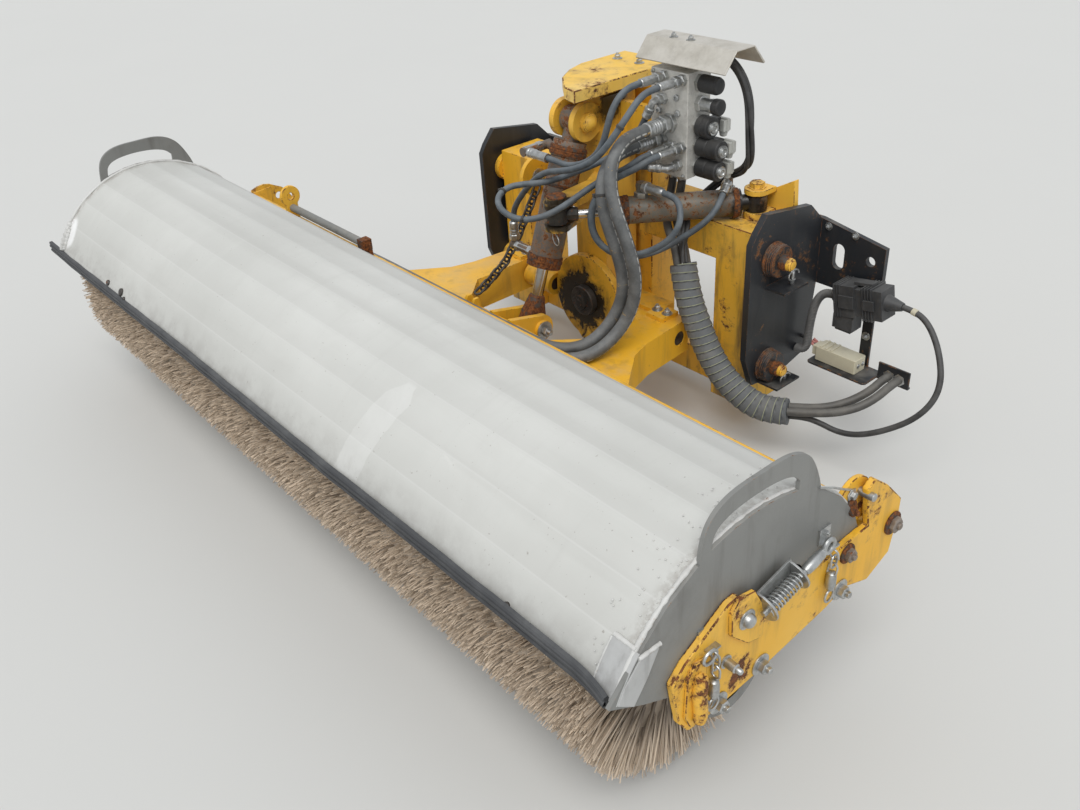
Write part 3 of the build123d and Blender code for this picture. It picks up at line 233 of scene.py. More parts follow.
@dataclass(frozen=True)
class Finish:
    """A finish of the machine, drawn once and shared by the pieces that have it."""

    name: str
    drawn: ClassVar[dict[str, bpy.types.Material]] = {}

    def material(self) -> bpy.types.Material:
        """The finish as a material, drawn on first use."""
        if self.name not in Finish.drawn:
            Finish.drawn[self.name] = self.draw(Board(self.name))
        return Finish.drawn[self.name]

    def draw(self, board: Board) -> bpy.types.Material:
        """Draw the finish on an empty board."""
        raise NotImplementedError

    def worn(self) -> "Finish":
        """The same finish as it is along an edge."""
        return self


@dataclass(frozen=True)
class PaintedSteel(Finish):
    """Paint that has faded, chipped and rusted, with a rusty spot and dark spots of grease and
    painted shade.

    Each dark spot is a point in millimetres, by its height above the road, and a reach.
    """

    colour: Colour
    faded: Colour
    chips: float = 0.3
    chip_size: float = 16.0
    grime: float = 0.35
    gloss: float = 0.42
    grease: float = 0.0
    spot: tuple[float, ...] = ()
    grease_and_shade_spots: tuple[tuple[float, ...], ...] = ()

    def worn(self) -> "PaintedSteel":
        """More rust, in smaller chips, along an edge."""
        return replace(self, name=self.name + "_edge", chips=min(1.0, self.chips + 0.45),
                       chip_size=40.0)

    def draw(self, board: Board) -> bpy.types.Material:
        """Paint, its runs of dirt, dust on top, stains and rusty chips."""
        broad, grain = board.noise(2.6, 3), board.noise(220, 4)
        patch = (board.noise(self.chip_size, 8, 0.72) * 0.65
                 + board.noise(self.chip_size * 5, 6, 0.7) * 0.35)
        patch = patch + broad * 0.2 - 0.1
        if self.spot:
            patch = patch + board.near(self.spot, 0.004, 0.062) * 0.17
        limit = 0.7 - 0.21 * self.chips
        bare = board.mask(patch, limit, limit + 0.018)
        stain = board.mask(patch, limit - 0.06, limit + 0.01)
        rust = board.mix(board.mask(board.noise(85, 6, 0.75), 0.35, 0.68), RUST_DARK, RUST_BRIGHT)
        runs = board.mask(board.noise(26, 5, 0.6, (1, 1, 0.14)), 0.48, 0.72)
        film = board.mask(board.noise(7, 7, 0.7), 0.5, 0.75)
        settled = board.mask(board.noise(11, 6, 0.65), 0.4, 0.72)
        dust = board.mask(board.upward(), 0.5, 1.0) * settled
        colour = board.layers(self.colour, (board.mask(broad, 0.35, 0.7) * 0.7, self.faded),
                              (runs * self.grime, GRIME), (film * (self.grime * 0.7), GRIME),
                              (dust * 0.3, DUST), (stain * 0.55, RUST_STAIN), (bare, rust))
        roughness = self.gloss + grain * 0.12 + bare * 0.35 + dust * 0.2
        if self.grease:
            smudge = board.noise(12, 6, 0.7, warp=0.6) + self.grease * 0.2
            smear = board.mask(smudge, 0.56, 0.64)
            colour = board.mix(smear, colour, GREASE_AND_SHADE_BLACK)
            roughness = roughness - smear * 0.2
        # Dark spots with a brown rim: grease at most of them, and painted shade at the one in the
        # swing post's recess under the cap plate.
        for x, y, height, reach in self.grease_and_shade_spots:
            ragged = (board.noise(11, 7, 0.72, warp=0.4) - 0.5) * (0.06 + reach / 700)
            inside = reach / 1000 + ragged - board.distance((x, y, height))
            dark_core = board.mask(inside, 0.0, 0.016)
            dark_rim = board.mask(inside, -0.035, 0.012)
            colour = board.layers(colour, (dark_rim * 0.55, GREASE_AND_SHADE_RIM), (dark_core * 0.95, GREASE_AND_SHADE_BLACK))
            roughness = roughness - dark_core * 0.16
        relief = grain * 0.12 - bare * 0.7 + board.noise(30, 3) * 0.3
        return board.surface(colour, roughness, relief, 0.0012, 0.6)


@dataclass(frozen=True)
class HoodPaint(Finish):
    """Pale grey hood sheet with streaks, scuffs and specks."""

    colour: Colour = (0.56, 0.562, 0.532)
    pale: Colour = (0.64, 0.642, 0.612)
    dark: Colour = (0.43, 0.426, 0.398)
    chalk: Colour = (0.76, 0.755, 0.73)
    # Painted highlight along each fold of the sheet.
    bright: Colour = (0.72, 0.72, 0.7)
    fresh: Colour = (0.86, 0.86, 0.85)
    rubbed: Colour = (0.8, 0.8, 0.78)
    speck: Colour = (0.22, 0.19, 0.16)
    soot: Colour = (0.25, 0.22, 0.19)
    mud: Colour = (0.24, 0.22, 0.2)
    repair: tuple[float, ...] = (-1184.0, -1372.0, 486.0)
    axis: tuple[float, float] = (-1115.0, 300.0)
    fold: float = 13.85
    first_fold: float = 16.0

    def turned(self, board: Board) -> Wire:
        """Angle about the hood's axis, in degrees up from the rear."""
        axis = at(0, *self.axis)
        slope = board.maths("ARCTAN2", board.coordinate("Z") - axis.z,
                            board.coordinate("Y") - axis.y)
        return slope * (360 / tau)

    def stripe(self, board: Board, degrees: Wire) -> Wire:
        """The pale stripe that runs down the front, wider below the crown."""
        aside = abs(board.coordinate("X") + degrees * 0.0009 - 0.5785)
        ragged = aside + (board.noise(30, 5) - 0.5) * 0.014
        crown = board.mask(degrees, 113.0, 121.0)
        inside = 1 - board.mask(ragged - crown * 0.026, 0.012, 0.016)
        return inside * board.mask(degrees, 112.5, 114.0)

    def draw(self, board: Board) -> bpy.types.Material:
        """Paint, streaks down its slope, painted shade across each facet and a painted highlight
        along each fold, scuffs, and grime at its edges.
        """
        cloud = board.noise(6, 7, 0.68, warp=0.5)
        streaks = board.noise(22, 6, 0.7, (1, 0.05, 0.05))
        chalk = board.mask(board.noise(4.2, 9, 0.75, (0.5, 1.6, 1), 0.8), 0.6, 0.72)
        degrees = self.turned(board)
        # Share of the way across each flat facet: it darkens towards the next fold as painted
        # shade, with a painted highlight just before the fold.
        across = ((degrees - self.first_fold) / self.fold + board.noise(1.6, 2) * 0.05) % 1.0
        fold_highlight = 1 - board.mask(abs(across - 0.97), 0.008, 0.04)
        mended = board.near(self.repair, 0.04, 0.058) * board.mask(board.noise(50, 4), 0.24, 0.36)
        specks = board.mask(board.noise(150, 3, 0.5), 0.7, 0.76)
        ends = (board.mask(abs(board.coordinate("X")), 1.165,
                           1.197) * board.mask(board.noise(60, 6, 0.7), 0.36, 0.6))
        low = (board.mask(0.03 - board.coordinate("Z"), 0.0,
                          0.09) * board.mask(board.noise(20, 6, 0.7), 0.38, 0.66))
        colour = board.layers(
            self.colour, (board.mask(board.noise(1.7, 4, 0.6), 0.3, 0.72), self.pale),
            (board.mask(cloud, 0.45, 0.75) * 0.16, self.dark),
            (board.mask(streaks, 0.52, 0.75) * 0.24, self.pale),
            (board.mask(1 - streaks, 0.54, 0.75) * 0.16, self.dark),
            (board.mask(board.noise(9, 5, 0.6, (0.05, 1, 1)), 0.5, 0.7) * 0.22, self.dark),
            (chalk * 0.3, self.chalk),
            (board.mask(board.coordinate("Y") * -1.0, 1.28, 1.4) * 0.22, self.dark),
            (board.mask(across, 0.05, 0.95) * 0.22, self.dark), (fold_highlight * 0.25, self.bright),
            (mended * 0.9, self.fresh), (
            self.stripe(board, degrees) * (board.mask(cloud, 0.4, 0.6) * 0.14 + 0.14), self.rubbed),
            (specks * 0.55, self.speck), (ends * 0.55, self.soot), (low * 0.35, self.mud))
        roughness = 0.46 + cloud * 0.2 + chalk * 0.1
        relief = (board.noise(170, 4) * 0.12 + board.noise(7, 3) * 0.2 + specks * 0.12
                  + streaks * 0.1)
        return board.surface(colour, roughness, relief, 0.0014, 0.4)


@dataclass(frozen=True)
class Metal(Finish):
    """Bare or plated metal with oxide, dirt and some rust."""

    colour: Colour
    dull: Colour
    rough: float = 0.35
    metallic: float = 0.9
    rust: float = 0.0
    grain: float = 120.0
    dirt: float = 0.2

    def worn(self) -> "Metal":
        """Brighter along an edge."""
        return replace(self, name=self.name + "_edge", rough=self.rough * 0.85,
                       rust=min(1.0, self.rust + 0.15))

    def draw(self, board: Board) -> bpy.types.Material:
        """Metal, oxide patches, dirt in its low places and rust."""
        cloud = board.noise(self.grain * 0.25, 6, 0.65)
        soil = board.mask(board.noise(self.grain * 0.4, 7, 0.75), 0.52, 0.72) * self.dirt
        limit = 0.72 - 0.3 * self.rust
        bare = board.mask(board.noise(self.grain * 0.3, 8, 0.75), limit, limit + 0.05)
        blotches = board.mask(board.noise(self.grain, 5, 0.7), 0.35, 0.65)
        colour = board.layers(self.colour, (board.mask(cloud, 0.36, 0.66), self.dull),
                              (soil, GRIME), (bare, board.mix(blotches, RUST_DARK, RUST_BRIGHT)))
        roughness = self.rough + cloud * 0.16 + bare * 0.4 + soil * 0.3
        relief = board.noise(self.grain * 2, 4) * 0.4 + bare * 0.5
        return board.surface(colour, roughness, relief, 0.0005, 0.4, (1 - bare) * self.metallic)


@dataclass(frozen=True)
class Moulded(Finish):
    """Moulded plastic or rubber with dust on it."""

    colour: Colour
    dusty: Colour
    rough: float = 0.55
    dust: float = 0.4

    def draw(self, board: Board) -> bpy.types.Material:
        """Plain moulding, dust in patches and on top, fine scratches."""
        film = board.mask(board.noise(14, 7, 0.7), 0.38, 0.72)
        top = board.mask(board.upward(), 0.1, 1.0)
        scratch = board.mask(board.noise(90, 6, 0.6, (1, 4, 0.4)), 0.6, 0.72)
        colour = board.layers(self.colour, ((film * 0.6 + top * 0.4) * self.dust, self.dusty),
                              (scratch * 0.18, self.dusty))
        relief = board.noise(320, 3) * 0.4 + scratch * 0.2
        return board.surface(colour, self.rough + film * 0.2, relief, 0.0006, 0.35)


@dataclass(frozen=True)
class HoseJacket(Finish):
    """Rubber hose or cable jacket, with a pale dashed line along a thick one."""

    colour: Colour
    dusty: Colour
    line: bool = False
    scuff: Colour | None = None
    line_colour: Colour = (0.62, 0.62, 0.58)
    dash: float = 0.021

    def draw(self, board: Board) -> bpy.types.Material:
        """Jacket, dust on its upper side, the line and a scuff of paint."""
        film = board.mask(board.noise(22, 7, 0.7), 0.36, 0.7)
        top = board.mask(board.upward(), -0.2, 1.0)
        bands = board.mask(board.noise(9, 3, 0.5), 0.5, 0.7)
        colour = board.layers(
            self.colour, ((film * 0.55 + top * 0.45) * 0.75, self.dusty), (bands * 0.25, GRIME))
        if self.line:
            middle = abs((board.carried("along") % self.dash) - self.dash / 2)
            dashes = board.mask(middle, 0.0028, 0.0034)
            strip = 1 - board.mask(abs(board.carried("around") - 0.5), 0.018, 0.024)
            shown = strip * dashes * board.mask(film, -0.4, 0.8) * 0.8
            colour = board.mix(shown, colour, self.line_colour)
        if self.scuff:
            worn = board.mask(board.noise(16, 7, 0.75, (1, 1, 2)), 0.62, 0.66)
            colour = board.mix(worn * 0.7, colour, self.scuff)
        relief = board.noise(260, 3) * 0.4 + board.noise(40, 3) * 0.3
        return board.surface(colour, 0.5 + film * 0.22, relief, 0.0008, 0.4)


@dataclass(frozen=True)
class WovenWrap(Finish):
    """Woven sleeve wound as a spiral, with coloured threads along its edge."""

    pitch: float = 0.021
    yarn: Colour = (0.105, 0.112, 0.118)
    pale_yarn: Colour = (0.19, 0.2, 0.205)
    dusty: Colour = (0.235, 0.225, 0.205)
    thread: Colour = (0.4, 0.42, 0.24)
    gap: Colour = (0.018, 0.018, 0.018)

    def draw(self, board: Board) -> bpy.types.Material:
        """Grey weave, dark slits between turns and thread lines beside them."""
        along = board.carried("along")
        around = board.maths("ARCTAN2", board.carried("rise"), board.carried("side")) / tau
        across = (along / self.pitch + around) % 1.0
        weave = abs((around * 84.0) % 1.0 - 0.5) + abs((along * 420.0) % 1.0 - 0.5)
        slit = 1 - board.mask(abs(across - 0.5) * -1.0 + 0.5, 0.01, 0.05)
        gaping = board.mask(board.noise(13, 3), 0.44, 0.56)
        colour = board.layers(self.yarn, (board.mask(weave, 0.25, 0.8) * 0.5, self.pale_yarn), (
            board.mask(board.noise(16, 7, 0.7), 0.35, 0.7) * 0.4, self.dusty), (
            (1 - board.mask(abs(across - 0.86), 0.025, 0.045)) * 0.7,
            self.thread), (slit * gaping * 0.85, self.gap))
        return board.surface(colour, 0.82, weave * 0.5, 0.0008, 0.5)


@dataclass(frozen=True)
class Bristle(Finish):
    """Worn brush fibre, paler and dirtier from one to the next."""

    root: Colour = (0.12, 0.092, 0.068)
    tip: Colour = (0.68, 0.56, 0.43)
    dull: Colour = (0.38, 0.305, 0.232)
    soil: Colour = (0.26, 0.22, 0.18)

    def draw(self, board: Board) -> bpy.types.Material:
        """Colour by the fibre's own tone, darker towards its root."""
        colour = board.layers(self.tip, (board.carried("tone"), self.dull), (
            1 - board.mask(board.carried("reach"), 0.15, 0.75), self.root), (
            board.mask(board.noise(30, 5, 0.6), 0.5, 0.8) * 0.3, self.soil))
        return board.surface(colour, 0.62)


YELLOW = PaintedSteel("yellow_paint", (0.82, 0.44, 0.024), (0.85, 0.52, 0.085), chips=0.34,
                      grime=0.24)
YELLOW_RUSTY = replace(YELLOW, name="yellow_paint_rusty", chips=0.62, chip_size=11.0, grime=0.28)
YELLOW_FLAKED = replace(YELLOW, name="yellow_paint_flaked", chips=0.94, chip_size=15.0)
PLATE_YELLOW = replace(YELLOW_RUSTY, name="bearing_plate_paint", chips=0.5, spot=(1222, -1146, 322))
# Heavier grime on the column and legs: partly real dirt, partly painted shade for the shadow that
# they stand in.
YELLOW_DIRT_AND_SHADE = replace(YELLOW, name="yellow_paint_dirt_and_shade", chips=0.44, grime=0.75)
YELLOW_GREASY = replace(YELLOW, name="yellow_paint_greasy", chips=0.42, grease=-0.1, gloss=0.34,
                        grease_and_shade_spots=((-22, -372, 276, 106),))
# The first dark spot is grease round the slew rod's pin; the second, between the right ear and the
# cap plate, is partly black paint and partly painted shade in that recess.
POST_YELLOW = replace(YELLOW, name="post_paint", chips=0.4, grime=0.45,
                      grease_and_shade_spots=((112, -545, 634, 58), (86, -300, 872, 62)))
# Paler yellow on the cap plate: a painted highlight for the light and sheen on its top, over real
# rusty chips.
CAP_YELLOW_HIGHLIGHT = replace(YELLOW_RUSTY, name="cap_paint_painted_highlight", colour=(0.86, 0.53, 0.07),
                     faded=(0.9, 0.64, 0.2), chips=0.56)
HOOD = HoodPaint("hood_paint")
PLATE_GREY = PaintedSteel("end_plate_paint", (0.192, 0.194, 0.184), (0.258, 0.258, 0.245),
                          chips=0.02, grime=0.36, gloss=0.44)
BRACKET_BLACK = PaintedSteel("bracket_paint", (0.012, 0.014, 0.017), (0.028, 0.03, 0.034),
                             chips=0.26, grime=0.15, gloss=0.36)
BOSS_BLACK = replace(BRACKET_BLACK, name="boss_paint", chips=0.68, chip_size=26.0)
CYLINDER = PaintedSteel("cylinder_paint", (0.125, 0.105, 0.088), (0.185, 0.16, 0.135), chips=0.8,
                        chip_size=34.0, grime=0.5, gloss=0.4)
SLEW_PAINT = replace(CYLINDER, name="slew_cylinder_paint", colour=(0.112, 0.1, 0.078),
                     faded=(0.165, 0.15, 0.12), chips=0.66, chip_size=46.0,
                     grease_and_shade_spots=((400, -170, 630, 62),))
PLATE_PALE = replace(PLATE_GREY, name="patch_paint", colour=(0.44, 0.445, 0.44),
                     faded=(0.52, 0.522, 0.51), chips=0.05)
WELD_PAINT = PaintedSteel("weld_paint", (0.6, 0.6, 0.58), (0.68, 0.675, 0.655), chips=0.3,
                          chip_size=60.0, grime=0.25, gloss=0.5)
RUSTY_IRON = Metal("rusty_iron", (0.1, 0.085, 0.075), (0.07, 0.05, 0.04), 0.6, 0.5,
                   rust=0.95, grain=160)
WORN_BOLT = Metal("worn_bolt", (0.33, 0.29, 0.255), (0.19, 0.15, 0.12), 0.46, 0.55,
                  rust=0.42, grain=110)
OILY_IRON = Metal("oily_iron", (0.06, 0.056, 0.05), (0.034, 0.031, 0.028), 0.42, 0.5, rust=0.5,
                  grain=170, dirt=0.5)
CHAIN_STEEL = Metal("chain_steel", (0.1, 0.092, 0.084), (0.05, 0.044, 0.04), 0.45, 0.6, rust=0.42,
                    grain=190, dirt=0.4)
DARK_STEEL = Metal("dark_steel", (0.12, 0.112, 0.105), (0.07, 0.062, 0.056), 0.42, 0.8,
                   rust=0.35, grain=150)
ZINC = Metal("zinc_plate", (0.56, 0.57, 0.565), (0.38, 0.385, 0.375), 0.3, 0.92, rust=0.04,
             grain=180, dirt=0.35)
CHROME = Metal("chrome_rod", (0.72, 0.715, 0.7), (0.56, 0.545, 0.52), 0.1, 1.0, rust=0.06,
               grain=60, dirt=0.25)
CAST = Metal("cast_aluminium", (0.64, 0.63, 0.59), (0.5, 0.49, 0.455), 0.5, 0.3, rust=0.0,
             grain=150, dirt=0.35)
SHEET_STEEL = Metal("cover_sheet", (0.62, 0.59, 0.53), (0.5, 0.47, 0.41), 0.42, 0.4, rust=0.03,
                    grain=60, dirt=0.14)
RUBBER = Moulded("skirt_rubber", (0.03, 0.032, 0.036), (0.135, 0.138, 0.14), 0.55, 0.75)
BLACK_PLASTIC = Moulded("black_plastic", (0.02, 0.02, 0.021), (0.12, 0.116, 0.108), 0.46, 0.55)
PALE_PLASTIC = Moulded("pale_plastic", (0.6, 0.56, 0.42), (0.43, 0.39, 0.3), 0.5, 0.5)
CLEAR_PLASTIC = Moulded("clear_plastic", (0.52, 0.525, 0.49), (0.35, 0.345, 0.31), 0.35, 0.5)
GREY_PLASTIC = Moulded("grey_plastic", (0.036, 0.037, 0.039), (0.15, 0.148, 0.142), 0.5, 0.6)
PINK_WIRE = Moulded("pink_wire", (0.52, 0.19, 0.17), (0.38, 0.25, 0.22), 0.5, 0.4)
THICK_JACKET = HoseJacket("thick_hose", (0.064, 0.068, 0.07), (0.25, 0.255, 0.25), line=True,
                          scuff=(0.62, 0.36, 0.05))
THIN_JACKET = HoseJacket("thin_hose", (0.05, 0.064, 0.078), (0.215, 0.24, 0.255))
FEED_JACKET = HoseJacket("feed_hose", (0.06, 0.058, 0.054), (0.22, 0.21, 0.19))
CABLE_JACKET = HoseJacket("black_cable", (0.02, 0.02, 0.021), (0.13, 0.128, 0.124))
LOOM_JACKET = HoseJacket("loom_cables", (0.018, 0.018, 0.019), (0.115, 0.113, 0.11))
CONDUIT_JACKET = HoseJacket("grey_conduit", (0.062, 0.062, 0.062), (0.22, 0.215, 0.205))
WRAP = WovenWrap("spiral_wrap")
FIBRE = Bristle("bristle_fibre")


def arc(turns: float, count: int) -> list[float]:
    """Evenly spaced angles over a share of a full turn, both ends among them."""
    return [tau * turns * i / count for i in range(count + 1)]


def round_angles(count: int) -> list[float]:
    """Evenly spaced angles round a full turn."""
    return arc(1, count)[:-1]


def ring(centre: Vector, side: Vector, up: Vector, radius: float, count: int,
         turn: float = 0.0) -> list[Vector]:
    """Points round a circle in the plane of two unit vectors; its radius is in metres."""
    return [centre + (side * cos(a) + up * sin(a)) * radius
            for a in (turn + tau * j / count for j in range(count))]


class Shape:
    """Points and faces gathered for one piece, with the numbers that its points carry."""

    least_radius = 0.02
    hexagon = 0.577

    def __init__(self) -> None:
        """Start empty."""
        self.points: list[Vector] = []
        self.faces: list[tuple[int, ...]] = []
        self.carried: dict[str, list[float]] = {}

    def _carry(self, **values: float) -> None:
        """Give the last point its numbers."""
        for name, value in values.items():
            numbers = self.carried.setdefault(name, [])
            numbers.extend([0.0] * (len(self.points) - 1 - len(numbers)))
            numbers.append(value)

    def skin(self, rings: Sequence[Sequence[Vector]], closed: bool = False,
             numbers: Callable[[int, int], dict] | None = None) -> "Shape":
        """Join rings of points with quads.

        Args:
            rings: rings of the same number of points.
            closed: whether the last ring joins the first; if not, both ends are filled.
            numbers: gives the numbers that a point carries from its ring and its place in it.

        Returns:
            This shape.
        """
        first, size = len(self.points), len(rings[0])
        for i, ring in enumerate(rings):
            for j, point in enumerate(ring):
                self.points.append(Vector(point))
                if numbers:
                    self._carry(**numbers(i, j))
        spans = len(rings) if closed else len(rings) - 1
        for i in range(spans):
            here, there = first + i * size, first + (i + 1) % len(rings) * size
            for j in range(size):
                k = (j + 1) % size
                self.faces.append((here + j, here + k, there + k, there + j))
        if not closed:
            self.faces.append(tuple(reversed(range(first, first + size))))
            self.faces.append(tuple(range(len(self.points) - size, len(self.points))))
        return self

    def lathe(self, start: Vector, way: Vector, profile: Outline, sides: int = 28,
              turn: float = 0.0, grown: float = 1.0) -> "Shape":
        """Turn a profile of (distance, radius) pairs in millimetres about an axis.

        The radii are multiplied by grown, and the first side is turned by some radians.
        """
        way = Vector(way).normalized()
        side = way.orthogonal().normalized()
        up = way.cross(side)
        return self.skin([ring(Vector(start) + way * (distance / 1000), side, up,
                               max(radius * grown, self.least_radius) / 1000, sides, turn)
                          for distance, radius in profile])

    def tube(self, path: Sequence[Vector], radius: float | Sequence[float], sides: int = 12,
             closed: bool = False) -> "Shape":
        """Sweep a round section along points, in metres."""
        path = [Vector(p) for p in path]
        count = len(path)
        radii = [radius] * count if isinstance(radius, (int, float)) else list(radius)
        ways = []
        for i in range(count):
            before = path[i - 1] if i or closed else path[0]
            after = path[(i + 1) % count] if i + 1 < count or closed else path[-1]
            ways.append((after - before).normalized())
        side = ways[0].orthogonal().normalized()
        if abs(ways[0].z) < 0.9:
            side = ways[0].cross(UP).normalized()
        rings, travelled, run = [], [], 0.0
        for i, (point, way) in enumerate(zip(path, ways)):
            run += (point - path[i - 1]).length if i else 0.0
            travelled.append(run)
            side = (side - way * side.dot(way)).normalized()
            rings.append(ring(point, side, way.cross(side), radii[i], sides))
        return self.skin(rings, closed, lambda i, j: {
            "around": j / sides, "along": travelled[i], "side": cos(tau * j / sides),
            "rise": sin(tau * j / sides)})

    def slab(self, outline: Outline, holes: Sequence[Outline], x: float,
             thickness: float) -> "Shape":
        """Flat plate across X with holes; its outlines are (y, height) pairs in millimetres."""
        loops = [outline, *holes]
        work = bmesh.new()
        for loop in loops:
            corners = [work.verts.new(at(0, y, height)) for y, height in loop]
            for a, b in zip(corners, corners[1:] + corners[:1]):
                work.edges.new((a, b))
        work.verts.index_update()
        bmesh.ops.triangle_fill(work, use_beauty=True, edges=work.edges[:])
        first, count = len(self.points), sum(len(loop) for loop in loops)
        for step in (0, thickness):
            self.points += [at(x + step, y, height) for loop in loops for y, height in loop]
        for face in work.faces:
            corners = [first + v.index for v in face.verts]
            self.faces += [tuple(reversed(corners)), tuple(c + count for c in corners)]
        work.free()
        for loop in loops:
            for j in range(len(loop)):
                a, b = first + j, first + (j + 1) % len(loop)
                self.faces.append((a, b, b + count, a + count))
            first += len(loop)
        return self

    def prism(self, outline: Sequence[Vector], push: Vector) -> "Shape":
        """Push a flat outline along a vector."""
        return self.skin([outline, [Vector(p) + Vector(push) for p in outline]])

    def box(self, centre: Vector, size: Sequence[float], turned: Matrix | None = None) -> "Shape":
        """Rectangular bar; its size is in millimetres."""
        x, y, height = (s / 2000 for s in size)
        turned = turned or Matrix.Identity(3)
        corners = [Vector((i * x, j * y, -height)) for i, j in ((-1, -1), (1, -1), (1, 1), (-1, 1))]
        return self.prism([centre + turned @ c for c in corners],
                          turned @ Vector((0, 0, 2 * height)))

    def bolt(self, seat: Vector, way: Vector, size: float, washer: bool = True,
             turn: float = 0.2) -> "Shape":
        """Hexagon head on a washer; its size is across the flats, in millimetres."""
        start = 0.0
        if washer:
            self.lathe(seat, way, ((-1, size * 0.9), (0.4, size * 0.98), (size * 0.14, size * 0.98),
                                   (size * 0.16, 0.5)))
            start = size * 0.15
        radius, head = size * self.hexagon, size * 0.62
        self.lathe(seat, way, (
            (start, radius), (start + head * 0.85, radius), (start + head, radius * 0.84)), 6, turn)
        return self.lathe(seat, way, (
            (start + head * 0.9, size * 0.3), (start + head + size * 0.3, size * 0.29),
            (start + head + size * 0.34, size * 0.22)), 14)


class Maker:
    """Turns shapes into pieces of one body of the machine."""

    sharp = 33.0

    def __init__(self, body: str) -> None:
        """Work on one body."""
        self.body = body

    def piece(self, name: str, shape: Shape, finish: Finish, slot: str, bevel: float = 0.0,
              replaced: Sequence[str] = (), crease: float = sharp, loose: bool = False,
              riding: bool = True) -> bpy.types.Object:
        """Make a piece.

        Args:
            name: the piece's name.
            shape: its points and faces.
            finish: its finish.
            slot: the record's material slot; not used.
            bevel: width of the rounded edges, in millimetres.
            replaced: the CAD nodes that it stands for.
            crease: the least angle of an edge that stays sharp, in degrees.
            loose: whether the faces are left as they are wound.
            riding: whether it rides on the body.

        Returns:
            The new object.
        """
        mesh = bpy.data.meshes.new(name)
        mesh.from_pydata([tuple(p) for p in shape.points], [], shape.faces)
        for key, numbers in shape.carried.items():
            numbers = numbers + [0.0] * (len(shape.points) - len(numbers))
            mesh.attributes.new(key, "FLOAT", "POINT").data.foreach_set("value", numbers)
        if not loose:
            self.clean(mesh)
        return self.dress(name, mesh, finish, bevel, replaced, crease, riding)

    def copy_of(self, node: str, finish: Finish, slot: str, bevel: float) -> bpy.types.Object:
        """Take a node's own mesh, join its parts and round its edges."""
        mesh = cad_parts[node].data.copy()
        mesh.materials.clear()
        self.clean(mesh, True)
        return self.dress(node + "_steel", mesh, finish, bevel, (node,), self.sharp, True)

    def dress(self, name: str, mesh: bpy.types.Mesh, finish: Finish, bevel: float,
              replaced: Sequence[str], crease: float, riding: bool) -> bpy.types.Object:
        """Put a mesh in the scene with its finish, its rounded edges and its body."""
        made = add_object(name, mesh)
        mesh.materials.append(finish.material())
        mesh.shade_smooth()
        mesh.set_sharp_from_angle(angle=radians(crease))
        if bevel:
            mesh.materials.append(finish.worn().material())
            rounded = made.modifiers.new("rounded_edges", "BEVEL")
            rounded.width = bevel / 1000
            rounded.segments = 2
            rounded.limit_method = "ANGLE"
            rounded.angle_limit = radians(crease)
            rounded.material = 1
            rounded.harden_normals = True
            rounded.use_clamp_overlap = True
        if riding:
            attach(made, self.body)
        if replaced:
            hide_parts(*replaced)
        LOG.info("%s: %d faces", name, len(mesh.polygons))
        return made

    @staticmethod
    def clean(mesh: bpy.types.Mesh, joined: bool = False) -> None:
        """Turn every face outwards, in a CAD mesh after joining its flat parts."""
        work = bmesh.new()
        work.from_mesh(mesh)
        if joined:
            bmesh.ops.remove_doubles(work, verts=work.verts, dist=0.00002)
            bmesh.ops.dissolve_limit(
                work, angle_limit=radians(0.4), verts=work.verts, edges=work.edges)
        bmesh.ops.recalc_face_normals(work, faces=work.faces)
        work.to_mesh(mesh)
        work.free()


class Jacket(Enum):
    """The covers of the hoses and cables."""

    THICK = THICK_JACKET
    THIN = THIN_JACKET
    FEED = FEED_JACKET
    CABLE = CABLE_JACKET
    LOOM = LOOM_JACKET
    CONDUIT = CONDUIT_JACKET
    WRAP = WRAP


